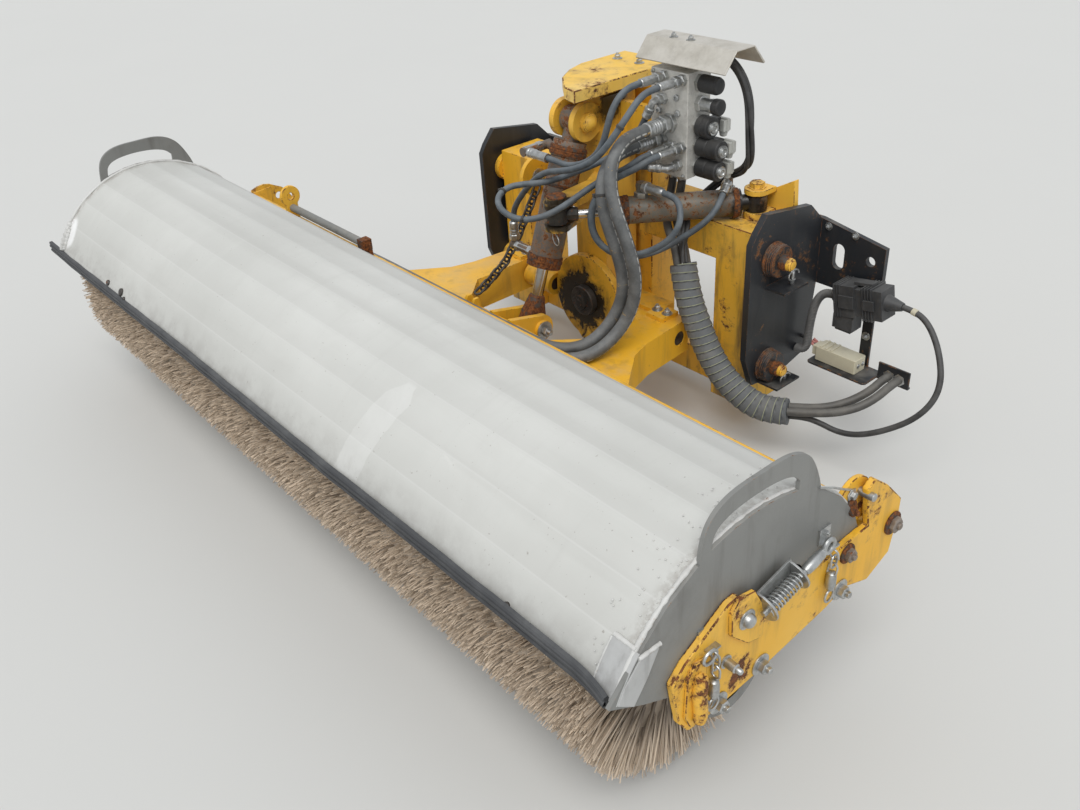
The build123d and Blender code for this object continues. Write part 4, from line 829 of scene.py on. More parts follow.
@dataclass(frozen=True)
class Cord:
    """A hose or cable and its facts, in metres; its route is in ROUTES."""

    name: str
    diameter: float
    length: float
    jacket: Jacket
    bodies: tuple[str, ...]
    slot: str = "hose_rubber"
    blend_end: Sequence[float] | None = None
    ribs: float = 0.0
    sides: int = 16
    rib_step: ClassVar[float] = 0.0022
    wrap_step: ClassVar[float] = 0.0026
    strand_step: ClassVar[float] = 0.01

    def centreline(self) -> list[Vector]:
        """Points of the smooth line that the route's points control."""
        curve = bpy.data.curves.new(self.name + "_line", "CURVE")
        curve.dimensions = "3D"
        curve.resolution_u = 10
        spline = curve.splines.new("NURBS")
        spline.points.add(len(ROUTES[self.name]) - 1)
        for control, point in zip(spline.points, ROUTES[self.name]):
            control.co = (*(value / 1000 for value in point), 1.0)
        spline.order_u = 3
        spline.use_endpoint_u = True
        line = add_object(self.name + "_line", curve)
        mesh = bpy.data.meshes.new_from_object(line)
        points = [v.co.copy() for v in mesh.vertices]
        bpy.data.objects.remove(line)
        bpy.data.meshes.remove(mesh)
        return points

    def ribbed(self, line: Sequence[Vector]) -> Shape:
        """Conduit with ribs."""
        radii = [self.diameter / 2 + self.ribs * (0.5 - i % 2) for i in range(len(line))]
        return Shape().tube(line, radii, self.sides)

    def finer(self, line: list[Vector], step: float) -> list[Vector]:
        """The line's own points at an even spacing, for ribs and windings."""
        found, run, target = [line[0]], 0.0, step
        for a, b in zip(line, line[1:]):
            span = (b - a).length
            while span and run + span >= target:
                found.append(a.lerp(b, (target - run) / span))
                target += step
            run += span
        return found

    def wound(self, line: Sequence[Vector]) -> Shape:
        """Spiral wrap with overlapping turns."""
        sides = 48
        shape = Shape().tube(line, self.diameter / 2, sides)
        for i, centre in enumerate(line):
            for j in range(sides):
                n = i * sides + j
                across = (i * self.wrap_step / WRAP.pitch + j / sides) % 1.0
                lift = 0.93 + 0.075 * min(1.0, across * 1.06) - (0.05 if across < 0.07 else 0.0)
                shape.points[n] = centre + (shape.points[n] - centre) * lift
        return shape

    def strands(self, line: list[Vector]) -> Shape:
        """Three cables laid round each other, as thick together as the cord."""
        even, shape = self.finer(line, self.strand_step), Shape()
        girth = self.diameter / 4.31
        ways = [(b - a).normalized() for a, b in zip(even, even[1:] + even[-1:])]
        ways[-1] = ways[-2]
        side, frames = ways[0].orthogonal().normalized(), []
        for way in ways:
            side = (side - way * side.dot(way)).normalized()
            frames.append((side.copy(), way.cross(side)))
        for third in range(3):
            path = []
            for i, (centre, (across, up)) in enumerate(zip(even, frames)):
                turned = tau * third / 3 + 1.4 * sin(i * 0.09)
                path.append(centre + (across * cos(turned) + up * sin(turned)) * (girth * 1.155))
            shape.tube(path, girth, 14)
        return shape

    def build(self) -> bpy.types.Object:
        line = self.centreline()
        if self.jacket is Jacket.WRAP:
            shape = self.wound(self.finer(line, self.wrap_step))
        elif self.jacket is Jacket.LOOM:
            shape = self.strands(line)
        elif self.ribs:
            shape = self.ribbed(self.finer(line, self.rib_step))
        else:
            shape = Shape().tube(line, self.diameter / 2, self.sides)
        bending = len(self.bodies) == 2
        made = Maker(self.bodies[0]).piece(self.name + "_hose", shape, self.jacket.value, self.slot,
                                           replaced=(self.name,), crease=60.0, riding=not bending)
        if bending:
            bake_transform(made)
        return made


# Millimetres from the frame's origin.
ROUTES: dict[str, Sequence[tuple[float, float, float]]] = {
    "motor_hose_a": (
        (272, -385, 352), (272, -430, 352), (274, -470, 343), (281, -504, 319), (292, -526, 283),
        (305, -534, 238), (324, -533, 190), (346, -529, 138), (364, -524, 82), (370, -522, 26),
        (365, -528, -28), (354, -546, -75), (345, -582, -110), (338, -628, -130),
        (322, -674, -137), (286, -708, -138), (232, -726, -138), (160, -727, -138),
        (60, -728, -138), (-100, -727, -138), (-300, -727, -136), (-500, -728, -136),
        (-600, -728, -137), (-740, -726, -150), (-880, -722, -169), (-1010, -716, -196),
        (-1110, -712, -218), (-1188, -722, -232), (-1240, -762, -238), (-1266, -830, -232),
        (-1271, -918, -210), (-1270, -1006, -190), (-1270, -1079.7, -190),),
    "motor_hose_b": (
        (240, -385, 307), (240, -427, 307), (242, -467, 300), (247, -501, 278), (256, -522, 240),
        (269, -528, 193), (288, -527, 144), (308, -523, 94), (323, -520, 42), (328, -524, -10),
        (321, -541, -60), (310, -572, -100), (298, -612, -126), (276, -652, -136),
        (238, -680, -138), (184, -692, -138), (110, -693, -138), (0, -694, -138),
        (-160, -693, -138), (-360, -693, -137), (-560, -694, -136), (-760, -692, -145),
        (-930, -688, -157), (-1060, -683, -172), (-1170, -682, -187), (-1256, -702, -197),
        (-1308, -762, -202), (-1326, -844, -202), (-1326, -928, -197), (-1325, -1008, -190),
        (-1325, -1079.7, -190),),
    "lift_hose_top": (
        (253, -385, 461), (253, -420, 461), (251, -453, 445), (248, -475, 416), (245, -487, 380),
        (236, -493, 342), (214, -497, 308), (176, -497, 282), (130, -493, 264), (84, -483, 252),
        (42, -470.6, 248), (3, -470.6, 248),),
    "lift_hose_low": (
        (311, -385, 460), (311, -420, 460), (313, -453, 448), (310, -480, 422), (298, -502, 389),
        (276, -516, 352), (244, -523, 316), (202, -526, 288), (153, -526, 267), (100, -524, 251),
        (47, -513, 234), (0, -505, 208), (-42, -501, 174), (-78, -500, 138), (-108, -499, 103),
        (-126, -497, 72), (-128, -497, 47),),
    "loop_hose": (
        (231.4, -343.3, 367.1), (219, -347, 340.5), (203, -358, 308), (182, -380, 282),
        (154, -410, 261), (122, -444, 243), (86, -481, 224), (50, -503, 208), (14, -522, 198),
        (-20, -541, 193), (-42, -572, 189), (-38, -608, 180), (-12, -634, 168), (28, -642, 155),
        (70, -632, 148), (108, -610, 153), (138, -580, 168), (160, -546, 188), (188, -496, 222),
        (208, -466, 240), (234, -448, 256), (258, -436, 271), (275, -421, 287), (284, -405, 296),
        (284, -385, 296),),
    "slew_hose_rod": (
        (312, -385, 298), (312, -406, 298), (305, -427, 290), (289, -444, 276), (266, -457, 262),
        (243, -470, 247), (223, -486, 226), (209, -501, 198), (203, -511, 164), (205, -513, 128),
        (218, -508, 94), (242, -494, 70), (274, -474, 59), (308, -455, 64), (342, -436, 80),
        (372, -420, 104), (392, -409, 130), (398, -399, 156), (389, -387, 180), (368, -375, 197),
        (338, -369.2, 202), (307.4, -369.2, 202),),
    "slew_hose_base": (
        (263.5, -368.6, 256.9), (244, -384, 259), (222, -402, 254), (203, -424, 239),
        (190, -448, 216), (183, -470, 186), (181, -486, 152), (184, -490, 116), (194, -483, 81),
        (213, -468, 52), (239, -445, 36), (268, -416, 33), (296, -384, 42), (322, -356, 59),
        (347, -333, 81), (371, -315, 102), (391, -298, 124), (402, -280, 146),
        (402.6, -259.5, 166.7), (393, -236.9, 179),),
    "feed_hose_a": (
        (229, -240, 218), (229, -240, 180), (229, -251, 144), (236, -270, 112), (253, -290, 86),
        (280, -306, 64), (308.5, -315.9, 38.7), (326.4, -324.9, -1.6),),
    "feed_hose_b": (
        (260, -240, 218), (260, -240, 182), (258, -247, 148), (260, -258, 115), (270, -270, 88),
        (291, -282, 66), (321.2, -295.3, 39.8), (339.1, -304.3, -0.5),),
    "coil_loom": (
        (300, -232, 476), (300, -232, 493), (310, -229, 509), (334, -225, 517), (368, -221, 510),
        (400, -218, 489), (425, -216, 458), (441, -215, 418), (448, -215, 372), (450, -213, 324),
        (445, -205, 282), (428, -190, 248), (398, -174, 223), (362, -168, 206), (330, -179, 182),
        (306, -200, 152), (291, -222, 127), (286, -243, 110), (296, -263, 95), (320, -286, 81),
        (330.6, -315.9, 48.5), (348.4, -324.9, 8.5),),
    "hose_sleeve": (
        (338, -318, 2), (370, -334, -70), (404, -331, -144), (440, -325, -218), (486, -315, -282),
        (548, -300, -328), (605, -280, -347), (655, -255, -340),),
    "supply_hose_a": (
        (649.2, -244.5, -333), (684.3, -226.9, -328.1), (720, -206, -322), (752, -180, -311),
        (780, -148, -294), (798, -114, -276), (803, -81, -262), (803, -48.3, -262),),
    "loom_cable": (
        (656.6, -254.2, -353.9), (692.1, -236.4, -348.9), (730, -222, -356), (772, -213, -366),
        (816, -206, -360), (860, -196, -340), (902, -182, -312), (940, -166, -280),
        (966, -149, -244), (978, -132, -206), (973, -115, -170), (955, -98, -136),
        (930, -82, -102), (896, -68, -70), (858, -60, -54), (820.3, -60, -54),),
    "conduit": (
        (630, -60, -85), (608, -60, -85), (588, -62, -99), (576, -65, -126), (572, -69, -158),
        (571, -73, -190), (572, -77, -222), (572, -80, -250), (557, -82, -265),
        (538.3, -82, -265),),
    "plug_cable": (
        (602, -62, -247), (582, -62, -247), (560, -55, -241), (538.3, -55, -241),),
    "supply_hose_b": (
        (659.6, -266.1, -333.1), (695.1, -248.3, -328.1), (734, -226, -323), (772, -200, -314),
        (806, -168, -298), (826, -130, -278), (832, -88, -262), (832, -48.3, -262),),
}
CORDS = (Cord("motor_hose_a", 0.032,
              2.619, Jacket.THICK, ("swing", "broom"), blend_end=(0.272, -0.674, -0.137), sides=20),
         Cord("motor_hose_b", 0.032, 2.569, Jacket.THICK, ("swing", "broom"),
              blend_end=(0.24, -0.652, -0.137), sides=20),
         Cord("lift_hose_top", 0.016, 0.451, Jacket.THIN, ("swing", "lift_barrel")),
         Cord("lift_hose_low", 0.016, 0.723, Jacket.THIN, ("swing", "lift_barrel")),
         Cord("loop_hose", 0.016, 0.953, Jacket.THIN, ("swing",)),
         Cord("slew_hose_rod", 0.016, 0.684, Jacket.THIN, ("swing", "base")),
         Cord("slew_hose_base", 0.016, 0.668, Jacket.THIN, ("swing", "base")),
         Cord("feed_hose_a", 0.022, 0.272, Jacket.FEED, ("swing",)),
         Cord("feed_hose_b", 0.022, 0.255, Jacket.FEED, ("swing",)),
         Cord("coil_loom", 0.024, 0.773, Jacket.LOOM, ("swing",), "cable_black"),
         Cord("hose_sleeve", 0.072, 0.52, Jacket.WRAP, ("swing", "base"), "sleeve_fabric"),
         Cord("supply_hose_a", 0.022, 0.28, Jacket.FEED, ("base",)),
         Cord("supply_hose_b", 0.022, 0.312, Jacket.FEED, ("base",)),
         Cord("loom_cable", 0.015, 0.667, Jacket.CABLE, ("base",), "cable_black"), Cord(
    "conduit", 0.021, 0.238, Jacket.CONDUIT, ("base",), "cable_black", ribs=0.0024, sides=20),
         Cord("plug_cable", 0.01, 0.065, Jacket.CABLE, ("base",), "cable_black"),)


@dataclass
class Studio:
    """Pale floor, soft light and the camera where the photograph was taken."""

    position: Sequence[float] = (1.91672, -2.08011, 1.10496)
    right: Sequence[float] = (0.65198993, 0.75586235, -0.05984346)
    up: Sequence[float] = (-0.3783521, 0.39272225, 0.83822367)
    forward: Sequence[float] = (-0.65708357, 0.5238715, -0.54203306)
    focal_pixels: float = 991.865
    picture_width: float = 1080.0
    sensor: float = 36.0
    floor_half: float = 60.0
    sight: float = 160.0
    floor_colour: Colour = (0.62, 0.62, 0.6)
    floor_dark: Colour = (0.56, 0.56, 0.54)
    sky: Colour = (0.93, 0.96, 1.0)
    sky_strength: float = 0.7
    lamp_colour: Colour = (1.0, 0.985, 0.96)
    lamp_strength: float = 1.75
    lamp_spread: float = 40.0
    lamp_way: Sequence[float] = (-0.36, 0.4, -0.84)

    def place_camera(self) -> None:
        """Put the camera where the photograph was taken."""
        camera = bpy.data.cameras.new("view")
        camera.sensor_width = self.sensor
        camera.lens = self.focal_pixels / self.picture_width * self.sensor
        camera.clip_end = self.sight
        holder = add_object("view", camera)
        axes = (self.right, self.up, [-x for x in self.forward])
        turned = Matrix(axes).transposed().to_4x4()
        turned.translation = self.position
        holder.matrix_world = turned
        bpy.context.scene.camera = holder

    def lay_floor(self) -> None:
        """Lay the floor, plain and pale."""
        half, board, mesh = self.floor_half, Board("floor"), bpy.data.meshes.new("floor")
        corners = [(i * half, j * half, ROAD) for i, j in ((-1, -1), (1, -1), (1, 1), (-1, 1))]
        mesh.from_pydata(corners, [], [(0, 1, 2, 3)])
        patches = board.mask(board.noise(1.2, 3), 0.3, 0.7) * 0.08
        shade = board.mix(patches, self.floor_colour, self.floor_dark)
        mesh.materials.append(board.surface(shade, 0.9))
        add_object("floor", mesh)

    def light(self) -> None:
        """An even sky and one broad lamp."""
        world = bpy.data.worlds.new("sky")
        world.use_nodes = True
        backdrop = world.node_tree.nodes["Background"]
        backdrop.inputs["Color"].default_value = (*self.sky, 1.0)
        backdrop.inputs["Strength"].default_value = self.sky_strength
        bpy.context.scene.world = world
        lamp = bpy.data.lights.new("soft_sun", "SUN")
        lamp.energy = self.lamp_strength
        lamp.angle = radians(self.lamp_spread)
        lamp.color = self.lamp_colour
        holder = add_object("soft_sun", lamp)
        holder.rotation_euler = Vector(self.lamp_way).to_track_quat("-Z", "Y").to_euler()

    def build(self) -> None:
        """Set up the studio."""
        self.place_camera()
        self.lay_floor()
        self.light()
        bpy.context.scene.view_settings.view_transform = "Standard"


def helix(start: Vector, end: Vector, radius: float, turns: int, steps: int = 14) -> list[Vector]:
    """Points of a coil spring from start to end; its radius is in millimetres."""
    way = (end - start).normalized()
    side = way.orthogonal().normalized()
    up = way.cross(side)
    count = turns * steps
    return [start.lerp(end, i / count)
            + (side * cos(tau * i / steps) + up * sin(tau * i / steps)) * (radius / 1000)
            for i in range(count + 1)]


def link_loop(centre: Vector, way: Vector, across: Vector, length: float,
              width: float) -> list[Vector]:
    """Points of one chain link; its sizes are in millimetres."""
    half, radius = (length - width) / 2000, width / 2000
    return [centre + way * (cos(a) * radius + copysign(half, cos(a))) + across * (sin(a) * radius)
            for a in round_angles(16)]


def add_chain(shape: Shape, path: Sequence[Vector], length: float, width: float,
              wire: float) -> Shape:
    """Chain links along a path, each a quarter turn from the last; sizes in millimetres."""
    pitch = (length - 2 * wire) / 1000
    total = sum((b - a).length for a, b in zip(path, path[1:]))
    for n in range(max(1, int(total / pitch))):
        target, run = (n + 0.5) * pitch, 0.0
        for a, b in zip(path, path[1:]):
            span = (b - a).length
            if run + span >= target:
                way = (b - a).normalized()
                side = way.orthogonal().normalized()
                turned = Matrix.Rotation(radians(45 + 90 * (n % 2)), 3, way) @ side
                middle = a.lerp(b, (target - run) / span)
                shape.tube(link_loop(middle, way, turned, length, width), wire / 2000, 8, True)
                break
            run += span
    return shape


def spline(p: float, q: float, r: float, s: float, t: float) -> float:
    """A value between q and r on the smooth line through four values."""
    return 0.5 * (2 * q + (r - p) * t + (2 * p - 5 * q + 4 * r - s) * t * t
                  + (3 * q - p - 3 * r + s) * t ** 3)


def smooth(corners: Outline, steps: int = 5) -> list[tuple[float, float]]:
    """Points of a smooth open line through its corners."""
    found, last = [], len(corners) - 1
    for i in range(last):
        four = [corners[min(max(i + k, 0), last)] for k in (-1, 0, 1, 2)]
        for t in (n / steps for n in range(steps)):
            found.append(tuple(spline(*values, t) for values in zip(*four)))
    return [*found, tuple(corners[-1])]


def round_hole(y: float, height: float, radius: float, count: int) -> list[tuple[float, float]]:
    """Outline of a round hole, in millimetres."""
    return [(y + radius * cos(a), height + radius * sin(a)) for a in round_angles(count)]


@dataclass
class Hood(Maker):
    """Folded hood sheet, its welds, corner patch and rubber skirt."""

    body: str = "broom"
    axis_y: float = -1115.0
    axis_height: float = 300.0
    radius: float = 328.0
    sheet: float = 4.0
    half_length: float = 1200.0
    rear_angle: float = 16.0
    front_angle: float = 154.5
    folds: int = 10
    hem_angle: float = 157.0
    stations: int = 110
    rows: int = 82
    spatter: int = 70

    def on(self, x: float, angle: float, rise: float = 0.0) -> Vector:
        """Point on the hood at an angle in degrees, raised by some millimetres."""
        turned = radians(angle)
        reach = self.radius + rise
        return at(x, self.axis_y + reach * cos(turned), self.axis_height + reach * sin(turned))

    def sag(self, x: float, angle: float) -> float:
        """How far the sheet lies inside its round outline: flats, and shallow dents."""
        step = (self.front_angle - self.rear_angle) / self.folds
        off = radians(((angle - self.rear_angle) % step) - step / 2)
        flat = self.radius * (1 - cos(radians(step / 2)) / cos(off))
        dent = (0.9 * sin(x * 0.0061 + 1.3) * sin(angle * 0.083 + 0.4)
                + 0.7 * sin(x * 0.0148 - angle * 0.11))
        return flat + 0.5 + 0.22 * dent

    def shell(self) -> Shape:
        """The sheet with both its faces."""
        angles = [self.rear_angle + (self.hem_angle - self.rear_angle) * i / self.rows
                  for i in range(self.rows + 1)]
        rings = []
        for i in range(self.stations + 1):
            x = -self.half_length + 2 * self.half_length * i / self.stations
            outer = [self.on(x, a, -self.sag(x, a)) for a in angles]
            inner = [self.on(x, a, -self.sag(x, a) - self.sheet) for a in reversed(angles)]
            rings.append(outer + inner)
        return Shape().skin(rings)

    def bead(self, shape: Shape, path: Sequence[Vector], size: float, seed: int) -> Shape:
        """A hand-laid weld along a path; its size is in millimetres."""
        draw = random.Random(seed)
        radii = [size / 1000 * draw.uniform(0.72, 1.22) for _ in path]
        return shape.tube(path, radii, 8)

    def welds(self) -> Shape:
        """Beads along both ends and round the corner patch."""
        shape = Shape()
        for side in (1, -1):
            angles = [20 + 133 * i / 90 for i in range(91)]
            self.bead(shape, [self.on(side * 1198.5, a, -0.5) for a in angles], 4.2, 5 + side)
        for path, size, seed in (([self.on(x, 139.2, 1.0) for x in range(1156, 1206, 5)], 4.4, 11),
                                 ([self.on(1154, a / 2, 0.5) for a in range(280, 309)], 2.6, 12), (
                [self.on(-1192, 139 + i / 2, 0.5) for i in range(32)], 9.0, 13), (
                [self.on(-1180, 142 + i / 2, -0.5) for i in range(24)], 6.0, 15), (
                [at(1209, y, 505) for y in range(-1368, -1322, 5)], 4.0, 14)):
            self.bead(shape, path, size, seed)
        draw, centre = random.Random(21), self.on(0, 90, -self.radius)
        for _ in range(self.spatter):
            spot = self.on(draw.uniform(1120, 1190), draw.uniform(60, 150), 0.2)
            shape.lathe(spot, (spot - centre).normalized(), ((-1, 1.6), (0.4, 1.5), (1, 0.7)), 6)
        return shape

    def corner(self) -> Shape:
        """The patch round the right front corner."""
        steps = range(9)
        angles = [139.6 + 15.4 * j / 8 for j in steps]
        shape = Shape().skin([
            [self.on(x, a, 2.6) for a in angles] + [self.on(x, a, -0.6) for a in reversed(angles)]
            for x in (1156 + 53 * i / 8 for i in steps)])
        outline = ((-1412, 440), (-1398, 468), (-1366, 503), (-1326, 500), (-1352, 452),
                   (-1380, 414))
        return shape.prism([at(1208, y, h) for y, h in outline], RIGHT * 0.003)

    def skirt(self) -> Shape:
        """Rubber strip, ridged and slightly wavy, with a torn right-hand end."""
        section = ((-1419.6, 434), (-1421.2, 438), (-1420.6, 442), (-1414.6, 444), (-1414.8, 447),
                   (-1421.0, 449.5), (-1421.4, 455), (-1416.8, 457), (-1417.0, 459.5),
                   (-1420.4, 461), (-1417.6, 465), (-1410.0, 465), (-1406.0, 456), (-1406.0, 433),
                   (-1412.0, 431.4))
        rings = []
        left, right, count = -1296, 1192, 156
        for i in range(count + 1):
            x = left + (right - left) * i / count
            sway = 1.1 * sin(x * 0.013) + 0.8 * sin(x * 0.041 + 1)
            torn = max(0.0, (x - 1120) / 72) ** 2
            drop = 26 * (right - x) / (right - left) + 2.2 * sin(x * 0.0052)
            rings.append([at(x, y - max(0.0, sway) * 0.6 - torn * 5,
                             h + sway - drop - torn * (14 if h > 445 else 4)) for y, h in section])
        return Shape().skin(rings)

    def build(self) -> None:
        """Make the hood."""
        self.piece("hood_sheet", self.shell(), HOOD, "hood_grey", replaced=("hood_shell",),
                   crease=50.0)
        self.piece("hood_welds", self.welds(), WELD_PAINT, "hood_grey", crease=70.0)
        self.piece("hood_corner_patch", self.corner(), PLATE_PALE, "hood_grey", 0.8)
        self.piece("skirt_strip", self.skirt(), RUBBER, "rubber", replaced=("rubber_skirt",),
                   crease=40.0)
        fixings = Shape()
        for x, angle, size in (
                (-822, 152.6, 8), (-727, 152.2, 11), (-700, 154, 6), (946, 152.6, 8)):
            fixings.lathe(self.on(x, angle, -3), self.on(x, angle) - self.on(x, angle, -20), (
                (0, size), (4.6, size), (6.2, size * 0.8), (6.4, size * 0.4)), 12)
        self.piece("skirt_fixings", fixings, DARK_STEEL, "motor_iron")


@dataclass
class Brush(Maker):
    """Core and bristles."""

    body: str = "brush"
    axis_y: float = -1148.0
    axis_height: float = 300.0
    radius: float = 268.0
    half_length: float = 1100.0
    splay: float = 27.0
    strands: int = 24000
    end_strands: int = 5200
    seed: int = 7
    roots: tuple[float, float] = (205.0, 222.0)
    shortest: float = 250.0
    filling_rings: int = 140
    filling_sides: int = 110

    def spot(self, x: float, angle: float, radius: float) -> Vector:
        """Point about the brush's axis; the angle is in radians."""
        return at(x, self.axis_y + radius * cos(angle), self.axis_height + radius * sin(angle))

    def lean(self, x: float) -> float:
        """How far a tip leans outwards at a place along the brush."""
        edge = max(0.0, (abs(x) - self.half_length + 70) / 70)
        return copysign(self.splay * edge ** 1.5, x)

    def strand(self, shape: Shape, draw: random.Random, x: float, root: float, tip: float,
               thick: float) -> None:
        """One closed three-sided fibre."""
        angle = draw.uniform(0, tau)
        low = self.spot(x + draw.uniform(-2, 2), angle, root)
        high = self.spot(x + self.lean(x) + draw.gauss(0, 4.5), angle + draw.gauss(0, 0.028), tip)
        way = (high - low).normalized()
        side = way.cross(Vector([draw.uniform(-1, 1) for _ in range(3)])).normalized()
        up = way.cross(side)
        first, tone = len(shape.points), min(1.0, max(0.0, draw.gauss(0.42, 0.3)))
        for end, width, reach in ((low, thick, 0.1), (high, thick * 0.72, 1.0)):
            shape.points += ring(end, side, up, width / 2000, 3)
            shape.carried.setdefault("tone", []).extend([tone] * 3)
            shape.carried.setdefault("reach", []).extend([reach] * 3)
        for j in range(3):
            k = (j + 1) % 3
            shape.faces.append((first + j, first + k, first + 3 + k, first + 3 + j))
        shape.faces += [(first + 2, first + 1, first), (first + 3, first + 4, first + 5)]

    def filling(self) -> Shape:
        """The dense inner mass that the tips stand out of."""
        draw = random.Random(self.seed + 1)
        rings, numbers, last, sides = [], [], self.filling_rings, self.filling_sides
        for i in range(last + 1):
            x = -self.half_length + 2 * self.half_length * i / last
            rings.append([self.spot(x + draw.uniform(-4, 4) * (0 < i < last), tau * j / sides,
                                    draw.uniform(220, 247)) for j in range(sides)])
            numbers.append([{"tone": draw.uniform(0, 1), "reach": draw.uniform(0.3, 0.62)}
                            for _ in range(sides)])
        return Shape().skin(rings, numbers=lambda i, j: numbers[i][j])

    def build(self) -> None:
        """Make the brush."""
        draw = random.Random(self.seed)
        self.copy_of("brush_core", DARK_STEEL, "core_steel", 1.0)
        end_strands = Shape()
        for name, left, right in (("bristles_left", -self.half_length, 0.0),
                                  ("bristles_right", 0.0, self.half_length)):
            strands = Shape()
            for _ in range(self.strands):
                self.strand(strands, draw, draw.uniform(left, right), draw.uniform(*self.roots),
                            draw.uniform(self.shortest, self.radius), draw.uniform(2.4, 4.0))
            self.piece(name, strands, FIBRE, "bristle", crease=20.0, loose=True)
        for n in range(self.end_strands):
            x = (1 if n % 2 else -1) * (self.half_length - abs(draw.gauss(0, 22)))
            self.strand(end_strands, draw, x, draw.uniform(95, 190), draw.uniform(240, self.radius),
                        draw.uniform(2.8, 4.4))
        self.piece("bristle_filling", self.filling(), FIBRE, "bristle", crease=80.0,
                   replaced=("brush_bristles",))
        self.piece("bristle_ends", end_strands, FIBRE, "bristle", crease=20.0, loose=True)


